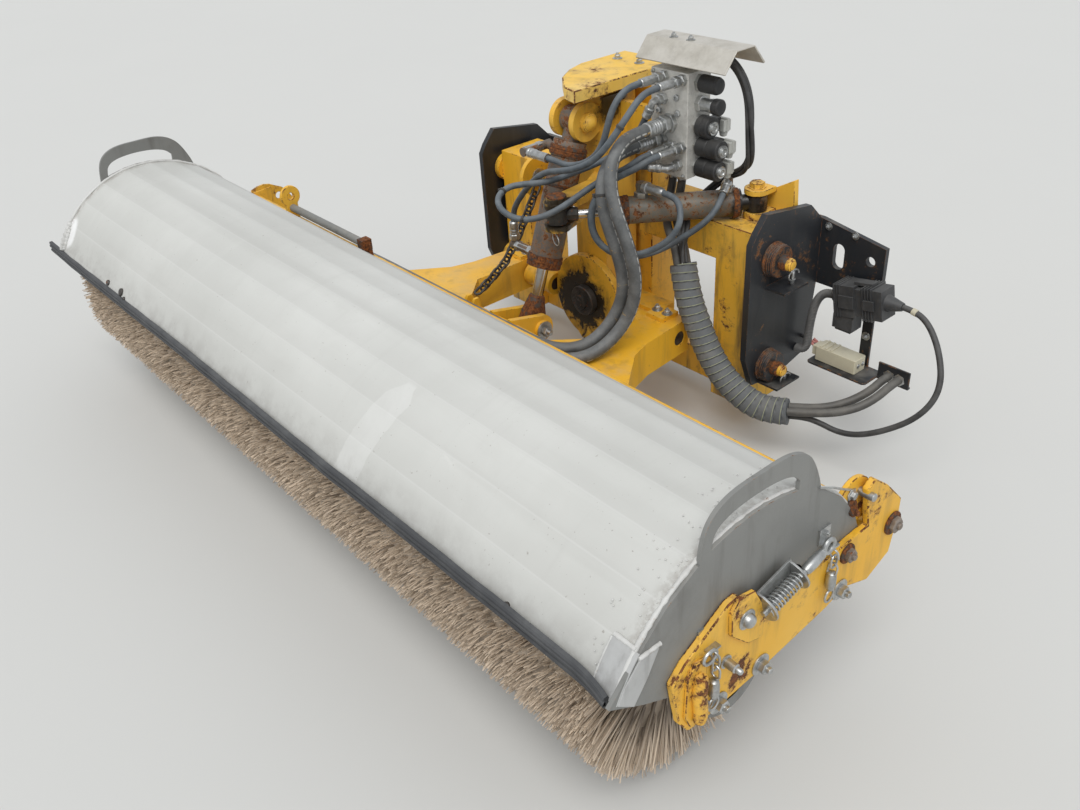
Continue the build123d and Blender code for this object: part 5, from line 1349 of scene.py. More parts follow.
@dataclass
class Frame(Maker):
    """End plates, bearing plates with their latches and bolts, rear beam, motor and yoke."""

    body: str = "broom"
    face: float = 1222.0

    def on_plate(self, y: float, height: float, out: float = 0.0) -> Vector:
        """Point on the right bearing plate's outer face."""
        return at(self.face + out, y, height)

    def plates(self) -> None:
        """Plates, beam, rod, motor and yoke."""
        for row in (("bearing_plate_right", PLATE_YELLOW, "yellow_paint", 2.8),
                    ("bearing_plate_left", PLATE_YELLOW, "yellow_paint", 2.8),
                    ("rear_beam", YELLOW, "yellow_paint", 3.0),
                    ("yoke", YELLOW, "yellow_paint", 4.0),
                    ("hood_rod", PLATE_GREY, "hood_grey", 1.0),
                    ("brush_motor", DARK_STEEL, "motor_iron", 2.5)):
            self.copy_of(*row)

    def end_plates(self) -> None:
        """Hood end plates with their carrying handles."""
        hood = Hood()

        def on_circle(radius: float, degrees: float) -> tuple[float, float]:
            """Place on a circle about the hood's axis."""
            turned = radians(degrees)
            return (hood.axis_y + radius * cos(turned), hood.axis_height + radius * sin(turned))

        step = hood.front_angle - hood.rear_angle
        corners = [on_circle(hood.radius, hood.rear_angle + step * i / hood.folds)
                   for i in range(hood.folds + 1)]
        handle = smooth(((-944, 578), (-952, 606), (-968, 642), (-986, 668), (-1012, 686),
                         (-1048, 696), (-1100, 698), (-1160, 697), (-1196, 688), (-1220, 670),
                         (-1233, 643), (-1240, 600)))
        slot = [on_circle(330, degrees) for degrees in (71, 77, 84, 91, 98, 105, 107.5)]
        slot += smooth(((-1214, 622), (-1208, 641), (-1192, 654), (-1160, 662), (-1110, 664),
                        (-1060, 659), (-1026, 648), (-1006, 630)))
        shaft = round_hole(-1148, 300, 82, 40)
        front = corners[-1]
        for side, x in (("right", 1200.0), ("left", -1208.0)):
            steps = ((-18, 1) if x > 0 else (0, 0), (54, -44), (116, -76), (167, -84))
            outline = [c for c in corners if c[0] > -944] + handle
            outline += [c for c in corners[:-1] if c[0] < -1240]
            outline += [(front[0] + dy, front[1] + dz)
                        for dy, dz in steps] + [(corners[0][0], front[1] - 84)]
            self.piece("end_plate_" + side + "_steel", Shape().slab(outline, (slot, shaft), x, 8.0),
                       PLATE_GREY, "hood_grey", 1.8, replaced=("end_plate_" + side,))

    def stay(self) -> None:
        """Stay wire on the right and the lifting lobe on the left."""
        wire = Shape().tube([at(1210, -953, 588), at(1210, -912, 566), at(1206, -868, 536),
                             at(1198, -832, 512)], 0.0022, 8)
        self.piece("stay_wire", wire, ZINC, "fitting_zinc")
        hole = round_hole(-675, 394, 12, 20)
        lobe = ((-770, 436), (-746, 444), (-722, 446), (-700, 441), (-682, 431), (-658, 419),
                (-640, 398), (-624, 370), (-622, 344), (-640, 326), (-690, 334), (-770, 380))
        self.piece("lifting_lobe", Shape().slab(lobe, (hole,), -1220, 9.0), YELLOW_RUSTY,
                   "yellow_paint", 1.6)

    def bolts(self) -> None:
        """Bolt heads on both bearing plates, the yoke and the motor."""
        zinc, rusty, heads = Shape(), Shape(), Shape()
        for y, height in ((-1199, 287), (-1092, 296), (-873, 322)):
            zinc.bolt(self.on_plate(y, height), RIGHT, 22)
            zinc.bolt(at(-self.face, y, height), -RIGHT, 22)
        for y, height, size in ((-864, 402, 19), (-722, 388, 23), (-1246, 330, 14)):
            for seat, way in (
                    (self.on_plate(y, height), RIGHT), (at(-self.face, y, height), -RIGHT)):
                rusty.lathe(seat, way, ((-1, 1), (0.5, 1.05), (4, 1.05), (5, 0.98), (5.5, 0.7)), 26,
                            grown=size)
                heads.lathe(seat, way, ((5, 0.72), (13, 0.72), (15, 0.6)), 6, 0.3, size)
                heads.lathe(seat, way, ((14, 0.32), (19, 0.31), (20, 0.24)), 16, grown=size)
        rusty.lathe(at(1200, -842, 476), RIGHT, ((-1, 19), (3, 20), (6, 20), (7, 12)), 24)
        rusty.bolt(at(1206, -842, 476), RIGHT, 17, False)
        for x in (-310, -274, 274, 310):
            zinc.bolt(at(x, -345, 347), UP, 15)
        for turn in range(4):
            angle = radians(45 + 90 * turn)
            rusty.bolt(at(-1334, -1148 + 42 * cos(angle), 300 + 42 * sin(angle)), -RIGHT, 13)
        rusty.lathe(at(-1334, -1148, 300), -RIGHT, ((-1, 26), (5, 26), (7, 22), (7.5, 8)), 28)
        for x in (-1270, -1325):
            zinc.lathe(at(x, -1081, 300), REARWARD, ((0, 21.5), (2, 22.5), (17, 22.5), (19, 21)), 6)
            zinc.lathe(at(x, -1062, 300), REARWARD, (
                (0, 18.2), (3, 19), (8, 18), (12, 19.2), (17, 18), (22, 19.2), (38, 18.5),
                (40, 16.6)), 24)
        for side in SIDES:
            zinc.bolt(at(side * 56, -563, 290), side * RIGHT, 26)
        low, high = (Vector(corner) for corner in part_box("hood_rod"))
        clip = Vector((high.x - 0.012, (low.y + high.y) / 2, (low.z + high.z) / 2))
        rusty.box(clip, (30, 1000 * (high.y - low.y) + 8, 1000 * (high.z - low.z) + 8))
        rusty.box(clip + Vector((0.004, 0.006, -0.022)), (44, 6, 50))
        self.piece("plate_bolts_zinc", zinc, ZINC, "fitting_zinc", 0.6)
        self.piece("plate_bolts_rusty", rusty, RUSTY_IRON, "pin_steel", 0.6)
        self.piece("plate_bolt_heads", heads, WORN_BOLT, "pin_steel", 0.8)

    def nose(self) -> None:
        """Stiffener, stop bar and lug at the right plate's nose, and the tab at its rear."""
        steel = Shape()
        outline = ((-1281, 408), (-1262, 428), (-1238, 424), (-1232, 300), (-1246, 286),
                   (-1272, 292), (-1284, 320))
        steel.prism([self.on_plate(y, h, -0.5) for y, h in outline], RIGHT * 0.0065)
        bar = [self.on_plate(-1259 + 2 * sin(i), 302 + 100 * i / 8, 13) for i in range(9)]
        flaked = Shape().tube(bar, [0.01] + [0.0125] * 7 + [0.01], 14)
        self.piece("nose_bar", flaked, YELLOW_FLAKED, "yellow_paint")
        lug = ((-1184, 480), (-1166, 502), (-1130, 494), (-1090, 420), (-1086, 388), (-1104, 374),
               (-1140, 386), (-1182, 430))
        steel.prism([self.on_plate(y, h, -0.5) for y, h in lug], RIGHT * 0.0085)
        tab = ((-872, 430), *smooth(((-876, 468), (-872, 500), (-858, 522), (-834, 533),
                                     (-808, 529), (-786, 512), (-774, 486))), (-766, 430))
        steel.prism([at(1190, y, h) for y, h in tab], RIGHT * 0.01)
        self.piece("nose_and_tabs", steel, YELLOW_RUSTY, "yellow_paint", 1.6)
        domed = Shape()
        domed.lathe(self.on_plate(-1148, 446, 8), RIGHT,
                    ((-1, 19), (2, 19), (3, 13), (9, 12.2), (13, 9), (15, 4)), 24)
        domed.lathe(at(1200, -838, 506), RIGHT, ((0, 13), (3, 13), (4, 9), (10, 8), (11, 5)), 6)
        domed.lathe(at(1186, -812, 500), RIGHT, ((0, 8), (44, 8), (46, 6.5), (46.5, 4)), 18)
        self.piece("nose_hardware", domed, ZINC, "fitting_zinc", 0.5)

    def spring_latch(self) -> None:
        """Toggle latch with its bracket, spring and rod on the right end plate."""
        shape = Shape()
        low, high = self.on_plate(-1109, 444, 17), self.on_plate(-1031, 463, 17)
        way = (high - low).normalized()
        across = way.cross(RIGHT).normalized()
        turned = Matrix((way, across, RIGHT)).transposed()
        middle = low.lerp(high, 0.5) - RIGHT * 0.017
        shape.box(middle + RIGHT * 0.001, (90, 66, 4), turned)
        for end in (low, high):
            wall = [end - RIGHT * 0.017 + across * (0.03 * cos(a)) + RIGHT * (0.038 * sin(a))
                    for a in arc(0.5, 10)]
            shape.prism(wall, way * 0.004)
        shape.tube(helix(low, high, 12.5, 11), 0.0021, 8)
        shape.tube([low - way * 0.01, low, high, high + way * 0.018], 0.0055, 12)
        grip = [high + way * s for s in (0.016, 0.022, 0.04, 0.062, 0.07)]
        shape.tube(grip, [0.0065, 0.0095, 0.01, 0.0085, 0.0055], 14)
        shape.tube(ring(high + way * 0.082, way, across, 0.013, 18), 0.0048, 10, True)
        for step in (-0.026, 0.026):
            shape.bolt(middle + way * step + across * 0.022 + RIGHT * 0.003, RIGHT, 9, False)
        self.piece("spring_latch", shape, ZINC, "fitting_zinc", 0.5)

    def hooks(self) -> None:
        """The two hook latches with their chains and rings."""
        shape = Shape()
        for y, top, foot in ((-923, 472, 345), (-1226, 452, 312)):
            seat = self.on_plate(y, top, -12)
            shape.box(seat, (4, 30, 34))
            shape.box(seat + Vector((0.012, 0, -0.015)), (24, 26, 4))
            shape.bolt(seat + Vector((0.002, 0, 0.006)), RIGHT, 9, False)
            down = [self.on_plate(y + 6 * sin(i), top - 22 - i * (top - foot - 70) / 3, 10)
                    for i in range(4)]
            add_chain(shape, down, 27, 17, 4.2)
            body = self.on_plate(y + 3, foot + 34, 10)
            shape.lathe(body + UP * 0.022, -UP, (
                (0, 4), (3, 8), (14, 9.5), (30, 9.5), (40, 7), (44, 3)), 14)
            shape.tube([body + Vector((0, 0.012 * cos(a), -0.034 + 0.013 * sin(a)))
                        for a in round_angles(18)], 0.0024, 8, True)
        shape.tube([self.on_plate(-1236 + 15 * cos(a), 428 + 13 * sin(a), 10)
                    for a in round_angles(20)], 0.0032, 8, True)
        shape.lathe(self.on_plate(-1186, 374, -1), RIGHT,
                    ((0, 13), (4, 13), (5, 9), (24, 8.5), (26, 6), (34, 5.6), (36, 4)), 16)
        self.piece("hook_latches", shape, ZINC, "fitting_zinc", 0.0, crease=40.0)

    def build(self) -> None:
        """Make the frame."""
        for step in (self.plates, self.end_plates, self.stay, self.bolts, self.nose,
                     self.spring_latch, self.hooks):
            step()


@dataclass
class Cylinder:
    """A hydraulic cylinder on its axis; distances run along it from its first pin."""

    start: Sequence[float]
    way: Sequence[float]
    length: float

    def along(self, distance: float, rise: float = 0.0) -> Vector:
        """Point on the axis, or above it."""
        return at(*self.start) + Vector(self.way) * (distance / 1000) + UP * (rise / 1000)


@dataclass
class LiftCylinder(Cylinder):
    """Lift barrel and rod, from the top pin down."""

    start: Sequence[float] = (0.0, -368.0, 815.0)
    way: Sequence[float] = (0.0, -0.34819, -0.93743)
    length: float = 560.04
    slope: float = 0.37143

    def axis_y(self, height: float) -> float:
        """Where the axis runs at a height above the road."""
        return self.start[1] - self.slope * (self.start[2] - height)

    def build(self) -> None:
        """Make the cylinder."""
        barrel, rod = Maker("lift_barrel"), Maker("lift_rod")
        barrel.copy_of("lift_barrel", CYLINDER, "cylinder_grey", 1.6)
        rings = Shape()
        way = Vector(self.way)
        rings.lathe(self.along(70), way, (
            (0, 44.5), (0.5, 49.5), (9, 50.5), (11, 48.5), (13, 50.5), (24, 49.5), (25, 44.5)), 36)
        rings.lathe(self.along(362), way,
                    ((0, 44.5), (1, 48), (18, 49), (20, 47), (33, 47), (35, 34), (35.6, 17)), 36)
        rings.lathe(self.along(168), way, ((0, 44.5), (1, 46.5), (8, 46.5), (9, 44.5)), 36)
        barrel.piece("lift_barrel_collars", rings, RUSTY_IRON, "cylinder_grey", 0.8)
        ports = Shape()
        y = self.axis_y(738)
        ports.bolt(at(-70, y, 738), -RIGHT, 20, False)
        ports.lathe(at(-86, y - 20, 738), -REARWARD,
                    ((0, 13.5), (2, 14.5), (16, 14.5), (18, 13.5)), 6)
        ports.lathe(at(-86, y - 38, 738), -REARWARD,
                    ((0, 12.6), (30, 12.6), (38, 12.8), (46, 11)), 20)
        ports.lathe(at(-72, y - 74, 738), RIGHT,
                    ((0, 12), (6, 13.2), (9, 11.6), (14, 13.2), (19, 11.6), (24, 13.2), (30, 11.6),
                     (66, 11.9), (74, 12.6), (75, 9)), 22)
        y = self.axis_y(468)
        ports.lathe(at(-48, y, 468), -RIGHT,
                    ((0, 15), (3, 16.5), (18, 16.5), (20, 13), (58, 13), (61, 15), (72, 15)), 6)
        ports.lathe(at(-128, y, 484), UP, ((0, 14), (3, 15.4), (15, 15.4), (17, 12.5)), 6)
        ports.lathe(at(-128, y, 500), UP, (
            (0, 12), (4, 13), (8, 11.8), (12, 13), (16, 11.8), (20, 13), (34, 12.4), (38, 9)), 22)
        barrel.piece("lift_port_fittings", ports, ZINC, "fitting_zinc", 0.4)
        shine = Shape().lathe(self.along(160), way, ((0, 16), (self.length - 160 - 84, 16)), 40)
        rod.piece("lift_rod_chrome", shine, CHROME, "chrome_rod", replaced=("lift_rod",))
        eye = Shape()
        base = self.along(self.length - 84)
        front, rows = way.cross(RIGHT).normalized(), []
        for distance, half_x, half_y in (
                (0, 20, 20), (6, 22, 22), (24, 23, 24), (48, 24, 28), (67, 24, 28)):
            square, row = min(1.0, distance / 60), []
            for cx, cy in ((cos(a), sin(a)) for a in round_angles(24)):
                full = max(abs(cx), abs(cy))
                row.append(base + way * (distance / 1000) + RIGHT * (
                    half_x / 1000 * (cx + (cx / full - cx) * square)) + front * (
                    half_y / 1000 * (cy + (cy / full - cy) * square)))
            rows.append(row)
        eye.skin(rows)
        eye.lathe(at(-24, -563, 290), RIGHT, ((0, 32), (1.5, 34), (46.5, 34), (48, 32)), 36)
        rod.piece("lift_rod_clevis", eye, RUSTY_IRON, "cylinder_grey", 1.2)


@dataclass
class SlewCylinder(Cylinder):
    """Slew barrel and rod, level, from the base pin."""

    start: Sequence[float] = (423.0, -141.0, 630.0)
    way: Sequence[float] = (-0.6271, -0.77895, 0.0)
    length: float = 507.1

    def build(self) -> None:
        """Make the cylinder."""
        barrel, rod = Maker("slew_barrel"), Maker("slew_rod")
        way = Vector(self.way)
        barrel.copy_of("slew_barrel", SLEW_PAINT, "cylinder_grey", 1.4)
        bands = Shape()
        bands.lathe(self.along(326), way, (
            (0, 35.5), (1, 38.5), (12, 38.5), (13, 36.5), (28, 36.5), (29.5, 28), (30, 14)), 36)
        bands.lathe(self.along(46), way, ((0, 30), (2, 38), (14, 38.5), (16, 35.5)), 36)
        barrel.piece("slew_barrel_bands", bands, RUSTY_IRON, "cylinder_grey", 0.8)
        ports = Shape()
        ports.lathe(self.along(293, 33), UP, ((0, 17), (4, 18), (14, 18), (16, 14)), 6)
        x, y = (start + way * 293 for start, way in zip(self.start[:2], self.way))
        ports.lathe(at(x + 11, y, 692), RIGHT, (
            (0, 14), (2, 15), (13, 15), (15, 12), (20, 12.6), (24, 11.4), (29, 12.6), (34, 11.4),
            (40, 12.6), (60, 11.8), (66, 9)), 22)
        ports.lathe(self.along(74, 33), UP, ((0, 17), (4, 18), (13, 18), (15, 14)), 6)
        start = self.along(74, 60)
        ports.lathe(start, Vector((0.35, -0.82, -0.45)),
                    ((6, 12), (9, 13.5), (20, 13.5), (22, 11.6), (27, 12.6), (31, 11.4), (36, 12.6),
                     (44, 11.8), (46, 9)), 22)
        barrel.piece("slew_port_fittings", ports, ZINC, "fitting_zinc", 0.4)
        shine = Shape().lathe(self.along(170), way, ((0, 12.5), (self.length - 170 - 50, 12.5)), 36)
        rod.piece("slew_rod_chrome", shine, CHROME, "chrome_rod", replaced=("slew_rod",))
        eye = Shape()
        eye.lathe(self.along(self.length - 54), way,
                  ((0, 14), (2, 18), (20, 19), (32, 18), (42, 18)), 8, 0.39)
        eye.lathe(at(105, -536, 610), UP, ((0, 26.5), (1.5, 28), (38.5, 28), (40, 26.5)), 36)
        rod.piece("slew_rod_clevis", eye, OILY_IRON, "cylinder_grey", 1.0)


@dataclass
class Hitch(Maker):
    """Swing post with its pins and chain."""

    body: str = "swing"
    hub_face: float = -372.0
    pin_top: float = 678.0

    def build(self) -> None:
        """Make the post and what is bolted to it."""
        for row in (("swing_post", POST_YELLOW, "yellow_paint", 3.0),
                    ("lift_shaft", DARK_STEEL, "pin_steel", 1.0),
                    ("pivot_plate", YELLOW_GREASY, "yellow_paint", 3.0),
                    ("pivot_hub", DARK_STEEL, "pin_steel", 3.0),
                    ("valve_mount", YELLOW, "yellow_paint", 2.0)):
            self.copy_of(*row)
        caps, rusty, zinc = Shape(), Shape(), Shape()
        for side in SIDES:
            caps.lathe(at(side * 55, -368, 815), side * RIGHT,
                       ((0, 24), (3, 24), (5, 20), (9, 18), (16, 9), (18, 3)), 32)
        self.piece("ear_hubs", caps, YELLOW, "yellow_paint", 1.0)
        hub = Shape().lathe(at(0, self.hub_face + 1, 288), -REARWARD, (
            (0, 34), (3, 34), (4, 25), (13, 25), (14.5, 22), (14.6, 15), (18, 14.6), (19, 12)), 6)
        self.piece("hub_nut", hub, OILY_IRON, "pin_steel", 0.5)
        rusty.lathe(at(105, -536, self.pin_top), UP,
                    ((0, 25), (4, 25.5), (6, 23), (7, 17), (7.4, 5)), 30)
        self.piece("slew_pin_cap", rusty, RUSTY_IRON, "pin_steel", 0.5)
        zinc.tube([at(118 + 21 * cos(a), -556 - 8 * cos(a), 574 + 15 * sin(a))
                   for a in round_angles(24)], 0.0015, 8, True)
        zinc.bolt(at(-162, -371, 624), RIGHT, 22)
        for height in (740, 776):
            zinc.bolt(at(178, -262, height), -REARWARD, 13)
        self.piece("post_hardware", zinc, ZINC, "fitting_zinc", 0.4)
        hang = [at(-150, -386, 600), at(-147, -428, 540), at(-145, -476, 474), at(-142, -528, 420),
                at(-139, -592, 384), at(-136, -640, 366), at(-136, -658, 362)]
        chain = add_chain(Shape(), hang, 36, 23, 7.0)
        made = self.piece("lift_chain", chain, CHAIN_STEEL, "pin_steel", crease=60.0, riding=False)
        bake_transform(made)


@dataclass
class ValveBlock(Maker):
    """Valve block, its fittings, solenoid coils, and rain cover."""

    body: str = "swing"
    front: float = -300.0
    side: float = 327.0
    middle: float = -259.0

    def straight(self, shape: Shape, x: float, height: float, hose: float) -> None:
        """Adapter nut, hose nut and crimped ferrule standing out of the front face."""
        wide, bore = 0.62 * hose + 4.0, 0.5 * hose + 2.6
        seat = at(x, self.front, height)
        for profile, sides, turn, girth in ((((-1, 1.04), (12, 1.04), (13.5, 0.9)), 6, 0.3, wide),
                                            (((13, 0.74), (20, 0.74)), 24, 0.0, wide), (
                ((19, 0.92), (20.5, 1), (33, 1), (34.5, 0.9)), 6, 0.0, wide), (
                ((34, 0.82), (40, 0.84), (42, 1), (46, 1.04), (50, 0.95), (54, 1.04), (58, 0.95),
                 (62, 1.04), (66, 0.95), (70, 1.04), (74, 0.96), (84, 1.02), (86, 0.88)), 26,
                0.0, bore)):
            shape.lathe(seat, -REARWARD, profile, sides, turn, girth)

    def elbow(self, shape: Shape, x: float, height: float, way: Vector, reach: float) -> None:
        """Adapter nut with a bent tube and a ferrule."""
        seat, bend = at(x, self.front, height), at(x, self.front - 38, height)
        way = way.normalized()
        shape.lathe(seat, -REARWARD, ((-1, 14.6), (11, 14.6), (12, 13)), 6, 0.3)
        shape.lathe(seat, -REARWARD, ((11, 11), (15, 13.4), (24, 13.4), (25, 11)), 6)
        path = [seat - REARWARD * 0.022, bend + REARWARD * 0.008,
                bend + way * 0.002 - REARWARD * 0.001, bend + way * 0.012, bend + way * 0.022]
        shape.tube(path, 0.0088, 16)
        shape.lathe(bend, way, (
            (16, 10), (18, 12), (reach * 0.55, 12.4), (reach * 0.62, 11), (reach * 0.7, 12.2),
            (reach * 0.82, 11), (reach * 0.94, 12), (reach + 1, 10)), 24)

    def fittings(self) -> None:
        """Every fitting on the block."""
        shape = Shape()
        for x, height, hose in ((253, 951, 16), (311, 950, 16), (272, 842, 32), (240, 797, 32),
                                (284, 786, 16), (312, 788, 16)):
            self.straight(shape, x, height, hose)
        self.elbow(shape, 250, 897, Vector((-0.42, -0.12, -0.9)), 44)
        self.elbow(shape, 302, 742, Vector((-0.78, -0.62, 0.1)), 49)
        for x, height in ((228, 925), (292, 905), (296, 868), (234, 866), (226, 736), (262, 726)):
            shape.lathe(at(x, self.front, height), -REARWARD, (
                (-1, 9), (5, 9), (6, 7.6), (6.2, 4), (3, 3.6)), 6)
        for x in (229, 260):
            shape.lathe(at(x, -240, 709), -UP, (
                (-1, 16), (12, 16), (13, 13.6), (30, 13.2), (32, 11)), 6)
        self.piece("hose_fittings", shape, ZINC, "fitting_zinc", 0.35, replaced=("hose_ends",))

    def coils(self) -> None:
        """Solenoid coils with their end nuts and plugs, a hand valve, and a cartridge."""
        black, bright, clear, seat = Shape(), Shape(), Shape(), self.side
        bright.lathe(at(seat, self.middle, 938), RIGHT, ((-1, 22), (9, 22), (10, 18)), 6)
        black.lathe(at(seat, self.middle, 938), RIGHT,
                    ((8, 19), (10, 21), (56, 21), (58, 19), (62, 18.6), (64, 15), (64.4, 6)), 30)
        bright.lathe(at(seat, self.middle, 889), RIGHT, ((-1, 20), (12, 20), (14, 17)), 6)
        bright.lathe(at(seat, self.middle, 889), RIGHT,
                     ((13, 16), (40, 16), (42, 18), (48, 18), (49, 15)), 24)
        black.lathe(at(seat, self.middle, 889), RIGHT,
                    ((48, 15), (50, 19.5), (66, 20), (69, 17), (70, 8)), 26)
        for height, girth, reach in ((836, 27, 54), (786, 25, 86), (734, 25, 82)):
            centre = at(seat, self.middle, height)
            bright.lathe(centre, RIGHT, ((-1, 0.86), (7, 0.86), (8, 0.7)), 6, grown=girth)
            black.lathe(centre, RIGHT, (
                (7, 0.94), (9, 1), (reach * 0.45, 1), (reach * 0.47, 0.95), (reach * 0.5, 1),
                (reach - 12, 1), (reach - 10, 0.93)), 34, grown=girth)
            bright.lathe(centre, RIGHT, ((reach - 11, 0.62), (reach - 4, 0.6), (reach - 5, 0.5),
                                         (reach - 5, 0.42), (reach - 2, 0.4), (reach - 1.5, 0.3),
                                         (reach - 4, 0.24), (reach - 4, 0.08)), 30, grown=girth)
            black.box(at(seat + reach * 0.42, self.middle + girth + 6, height + 2), (26, 16, 30))
            plug = seat + reach * 0.66
            clear.box(at(plug, self.middle + girth + 22, height - 4), (27, 26, 28))
            clear.box(at(plug, self.middle + girth + 24, height - 3), (31, 9, 33))
            clear.lathe(at(plug, self.middle + girth + 24, height - 17), -UP,
                        ((0, 10), (6, 10.5), (14, 9), (16, 6)), 18)
        self.piece("coil_bodies", black, BLACK_PLASTIC, "coil_black", 1.0,
                   replaced=("valve_coils",))
        self.piece("coil_nuts", bright, ZINC, "fitting_zinc", 0.5)
        self.piece("coil_plugs", clear, CLEAR_PLASTIC, "connector_pale", 1.6)

    def build(self) -> None:
        """Make the valve block."""
        self.copy_of("valve_block", CAST, "valve_aluminium", 2.4)
        self.copy_of("valve_cover", SHEET_STEEL, "cover_steel", 0.9)
        screws = Shape()
        for x, height in ((216, 958), (318, 716), (216, 716)):
            screws.bolt(at(x, self.front, height), -REARWARD, 9, False)
        for x in (240, 294):
            screws.bolt(at(x, self.middle + 2, 1030), UP, 11)
        self.piece("block_screws", screws, ZINC, "fitting_zinc")
        self.fittings()
        self.coils()


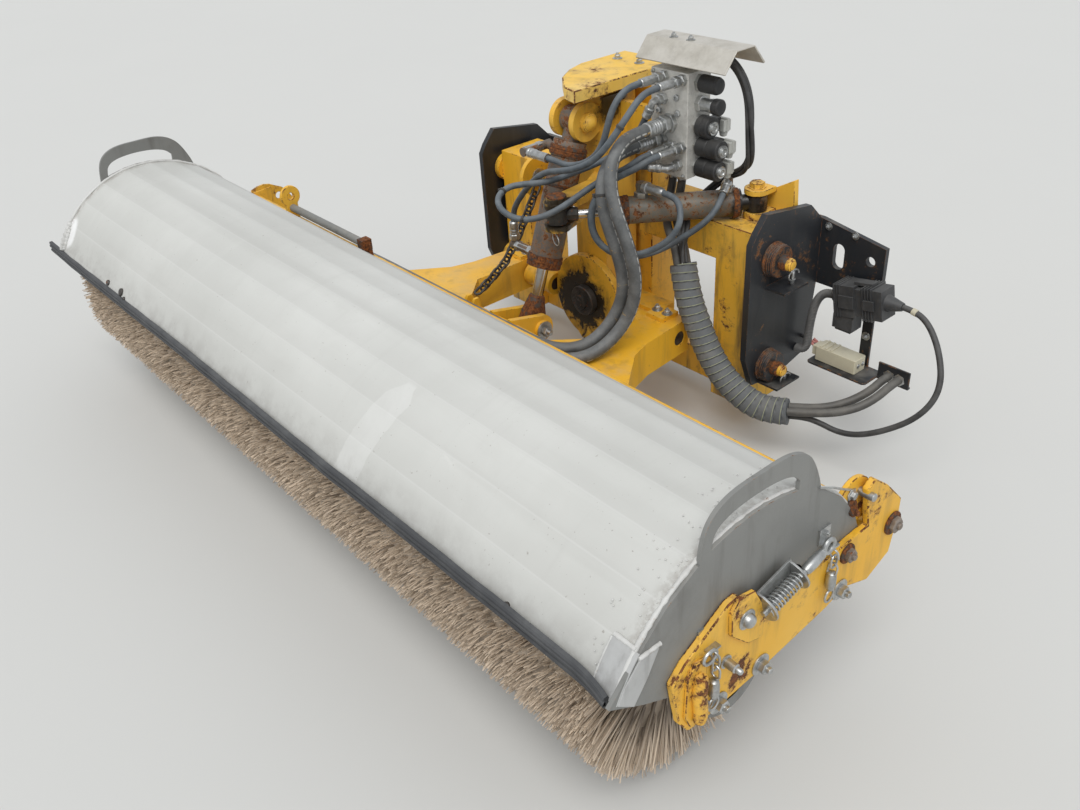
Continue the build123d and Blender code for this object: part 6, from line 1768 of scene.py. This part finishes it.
@dataclass
class Base(Maker):
    """Column, legs, cap, anchor, brackets and their pins."""

    body: str = "base"

    def pins(self) -> None:
        """Bracket pins with yellow tips, ribbed collars and clips."""
        pins, tips, collars, clips = Shape(), Shape(), Shape(), Shape()
        for side in SIDES:
            for height in (228, 530):
                inner = at(side * 410, -210, height)
                pins.lathe(inner, side * RIGHT,
                           ((0, 19), (2, 20), (162, 20), (175, 19), (177, 17)), 30)
                tips.lathe(at(side * 586, -210, height), side * RIGHT,
                           ((0, 16), (3, 16.4), (10, 15.6), (14, 12), (15, 5)), 30)
                collars.lathe(at(side * 538, -210, height), side * RIGHT, (
                    (0, 45), (4, 45.5), (6, 42), (9, 42.5), (10, 41), (13, 44), (16, 41),
                    (19, 43.6), (22, 41), (25, 43), (29, 40), (29.5, 22)), 36)
                clips.tube([at(side * 578 + 3, -178 + 20 * cos(a), height - 42 + 14 * sin(a))
                            for a in arc(0.8, 18)], 0.0024, 8)
                clips.lathe(at(side * 576, -176, height - 70), UP,
                            ((0, 5), (3, 6), (34, 6), (37, 4)), 14)
        self.piece("pin_bars", pins, RUSTY_IRON, "pin_steel", replaced=("bracket_pins",))
        self.piece("pin_tips", tips, YELLOW_RUSTY, "yellow_paint", 0.6)
        self.piece("pin_collars", collars, BOSS_BLACK, "black_paint", 0.8)
        self.piece("pin_clips", clips, ZINC, "fitting_zinc")

    def hardware(self) -> None:
        """Bolts on the flanges, the cap and the anchor."""
        zinc, rusty = Shape(), Shape()
        for side in SIDES:
            for height in (440, 540):
                rusty.bolt(at(side * 460, -15, height), -REARWARD, 24)
            for height, x in ((420, 700), (556, 640), (560, 560)):
                zinc.bolt(at(side * x, -15, height), -REARWARD, 11)
        for x in (30, -52):
            zinc.bolt(at(x, -160, 918), UP, 14)
        self.piece("base_bolts_zinc", zinc, ZINC, "fitting_zinc", 0.4)
        self.piece("base_bolts_rusty", rusty, RUSTY_IRON, "pin_steel", 0.5)
        nut = Shape().lathe(at(423, -141, 666), UP, (
            (0, 24), (3, 25), (4, 19), (15, 20), (17, 16), (18, 6)), 6)
        self.piece("anchor_nut", nut, YELLOW_RUSTY, "yellow_paint", 0.8)

    def connectors(self) -> None:
        """The cable connectors on their bracket."""
        self.copy_of("loom_connector", GREY_PLASTIC, "connector_black", 2.6)
        self.copy_of("pale_connector", PALE_PLASTIC, "connector_pale", 2.0)
        black, pale, bright = Shape(), Shape(), Shape()
        slope = Vector((0.985, 0, 0.174))
        start = at(644, -60, 408)
        turned = Matrix((slope, REARWARD, slope.cross(REARWARD))).transposed()
        for distance in (4, 12, 20, 86, 94, 102, 110):
            black.box(start + slope * (distance / 1000), (3, 66, 88), turned)
        for distance, aside, size in (
                (0.07, UP * 0.046, (52, 26, 9)), (0.04, REARWARD * -0.034, (44, 6, 34)),
                (0.104, REARWARD * -0.033, (30, 6, 26))):
            black.box(start + slope * distance + aside, size, turned)
        black.box(at(676, -66, 352), (58, 44, 40))
        black.box(at(676, -66, 332), (46, 34, 14))
        for x in (616, 632, 648):
            pale.box(at(x, -60, 255.5), (7, 44, 3))
        pale.box(at(698, -60, 236), (44, 40, 30))
        pale.box(at(596, -60, 236), (14, 34, 26))
        for step in (-10, 10):
            bright.lathe(at(726, -60 + step, 236), RIGHT, ((-8, 6), (2, 6), (3, 3)), 16)
        for height in (300, 392):
            bright.bolt(at(710, -23, height), -REARWARD, 12)
        for x in (803, 832):
            bright.lathe(at(x, -36, 228), -REARWARD, ((0, 16), (3, 17), (12, 17), (13, 14)), 6)
        wires = Shape()
        for step in (-9, 0, 9):
            wires.tube([at(592, -60 + step, 240), at(583, -60 + step, 247),
                        at(574, -62 + step, 250 + step / 3)], 0.0036, 8)
        self.piece("connector_wires", wires, PINK_WIRE, "connector_pale")
        self.piece("connector_ribs", black, GREY_PLASTIC, "connector_black", 1.0)
        self.piece("pale_connector_keys", pale, PALE_PLASTIC, "connector_pale", 1.0)
        self.piece("connector_hardware", bright, ZINC, "fitting_zinc", 0.4)

    def build(self) -> None:
        """Make the base."""
        for node, finish in (("base_column", YELLOW_DIRT_AND_SHADE), ("leg_right", YELLOW_DIRT_AND_SHADE),
                             ("leg_left", YELLOW_DIRT_AND_SHADE), ("cap_plate", CAP_YELLOW_HIGHLIGHT),
                             ("slew_anchor", YELLOW)):
            self.copy_of(node, finish, "yellow_paint", 3.0)
        for node, bevel in (("bracket_right", 3.4), ("bracket_left", 3.4),
                            ("connector_bracket", 2.0)):
            self.copy_of(node, BRACKET_BLACK, "black_paint", bevel)
        self.pins()
        self.hardware()
        self.connectors()


@dataclass
class Ties:
    """Ties round the hoses and the pale band on the cable to the connector."""

    width: float = 7.0
    thin: float = 8.4
    thick: float = 16.4

    def build(self) -> None:
        """Make the ties."""
        black = Shape()
        for spot, way, radius in (((299, -498, 884), (-0.36, -0.46, -0.81), self.thin), (
                (213, -497, 695), (-0.35, -0.4, -0.85), self.thin), (
                (184, -468, 678), (-0.13, -0.52, -0.84), self.thin), (
                (-40, -593, 674), (0.16, -0.95, -0.25), self.thin), (
                (79, -626, 640), (0.9, 0.44, 0.05), self.thin), (
                (259, -523, 718), (0.25, -0.21, -0.95), self.thick)):
            centre, way = at(*spot), Vector(way).normalized()
            black.lathe(centre - way * (self.width / 2000), way, (
                (0, radius), (0.6, radius + 1.7), (6.4, radius + 1.7), (7, radius)), 22)
            side = way.cross(UP).normalized()
            black.box(centre + side * ((radius + 2.5) / 1000), (7, 6, 9))
        Maker("swing").piece("hose_ties", black, BLACK_PLASTIC, "cable_black", 0.5)
        pale = Shape().lathe(at(859, -61, 433), Vector((-0.99, 0.07, 0.14)),
                             ((0, 7.6), (0.5, 8.7), (13, 8.7), (13.6, 7.6)), 22)
        Maker("base").piece("cable_band", pale, PALE_PLASTIC, "connector_pale")


def main() -> None:
    """Build the studio and the machine."""
    logging.basicConfig(level=logging.INFO, format="%(message)s")
    Studio().build()
    for cord in CORDS:
        cord.build()
    for assembly in (Hood(), Brush(), Frame(), Hitch(), ValveBlock(), LiftCylinder(),
                     SlewCylinder(), Base(), Ties()):
        assembly.build()


if __name__ == "__main__":
    main()
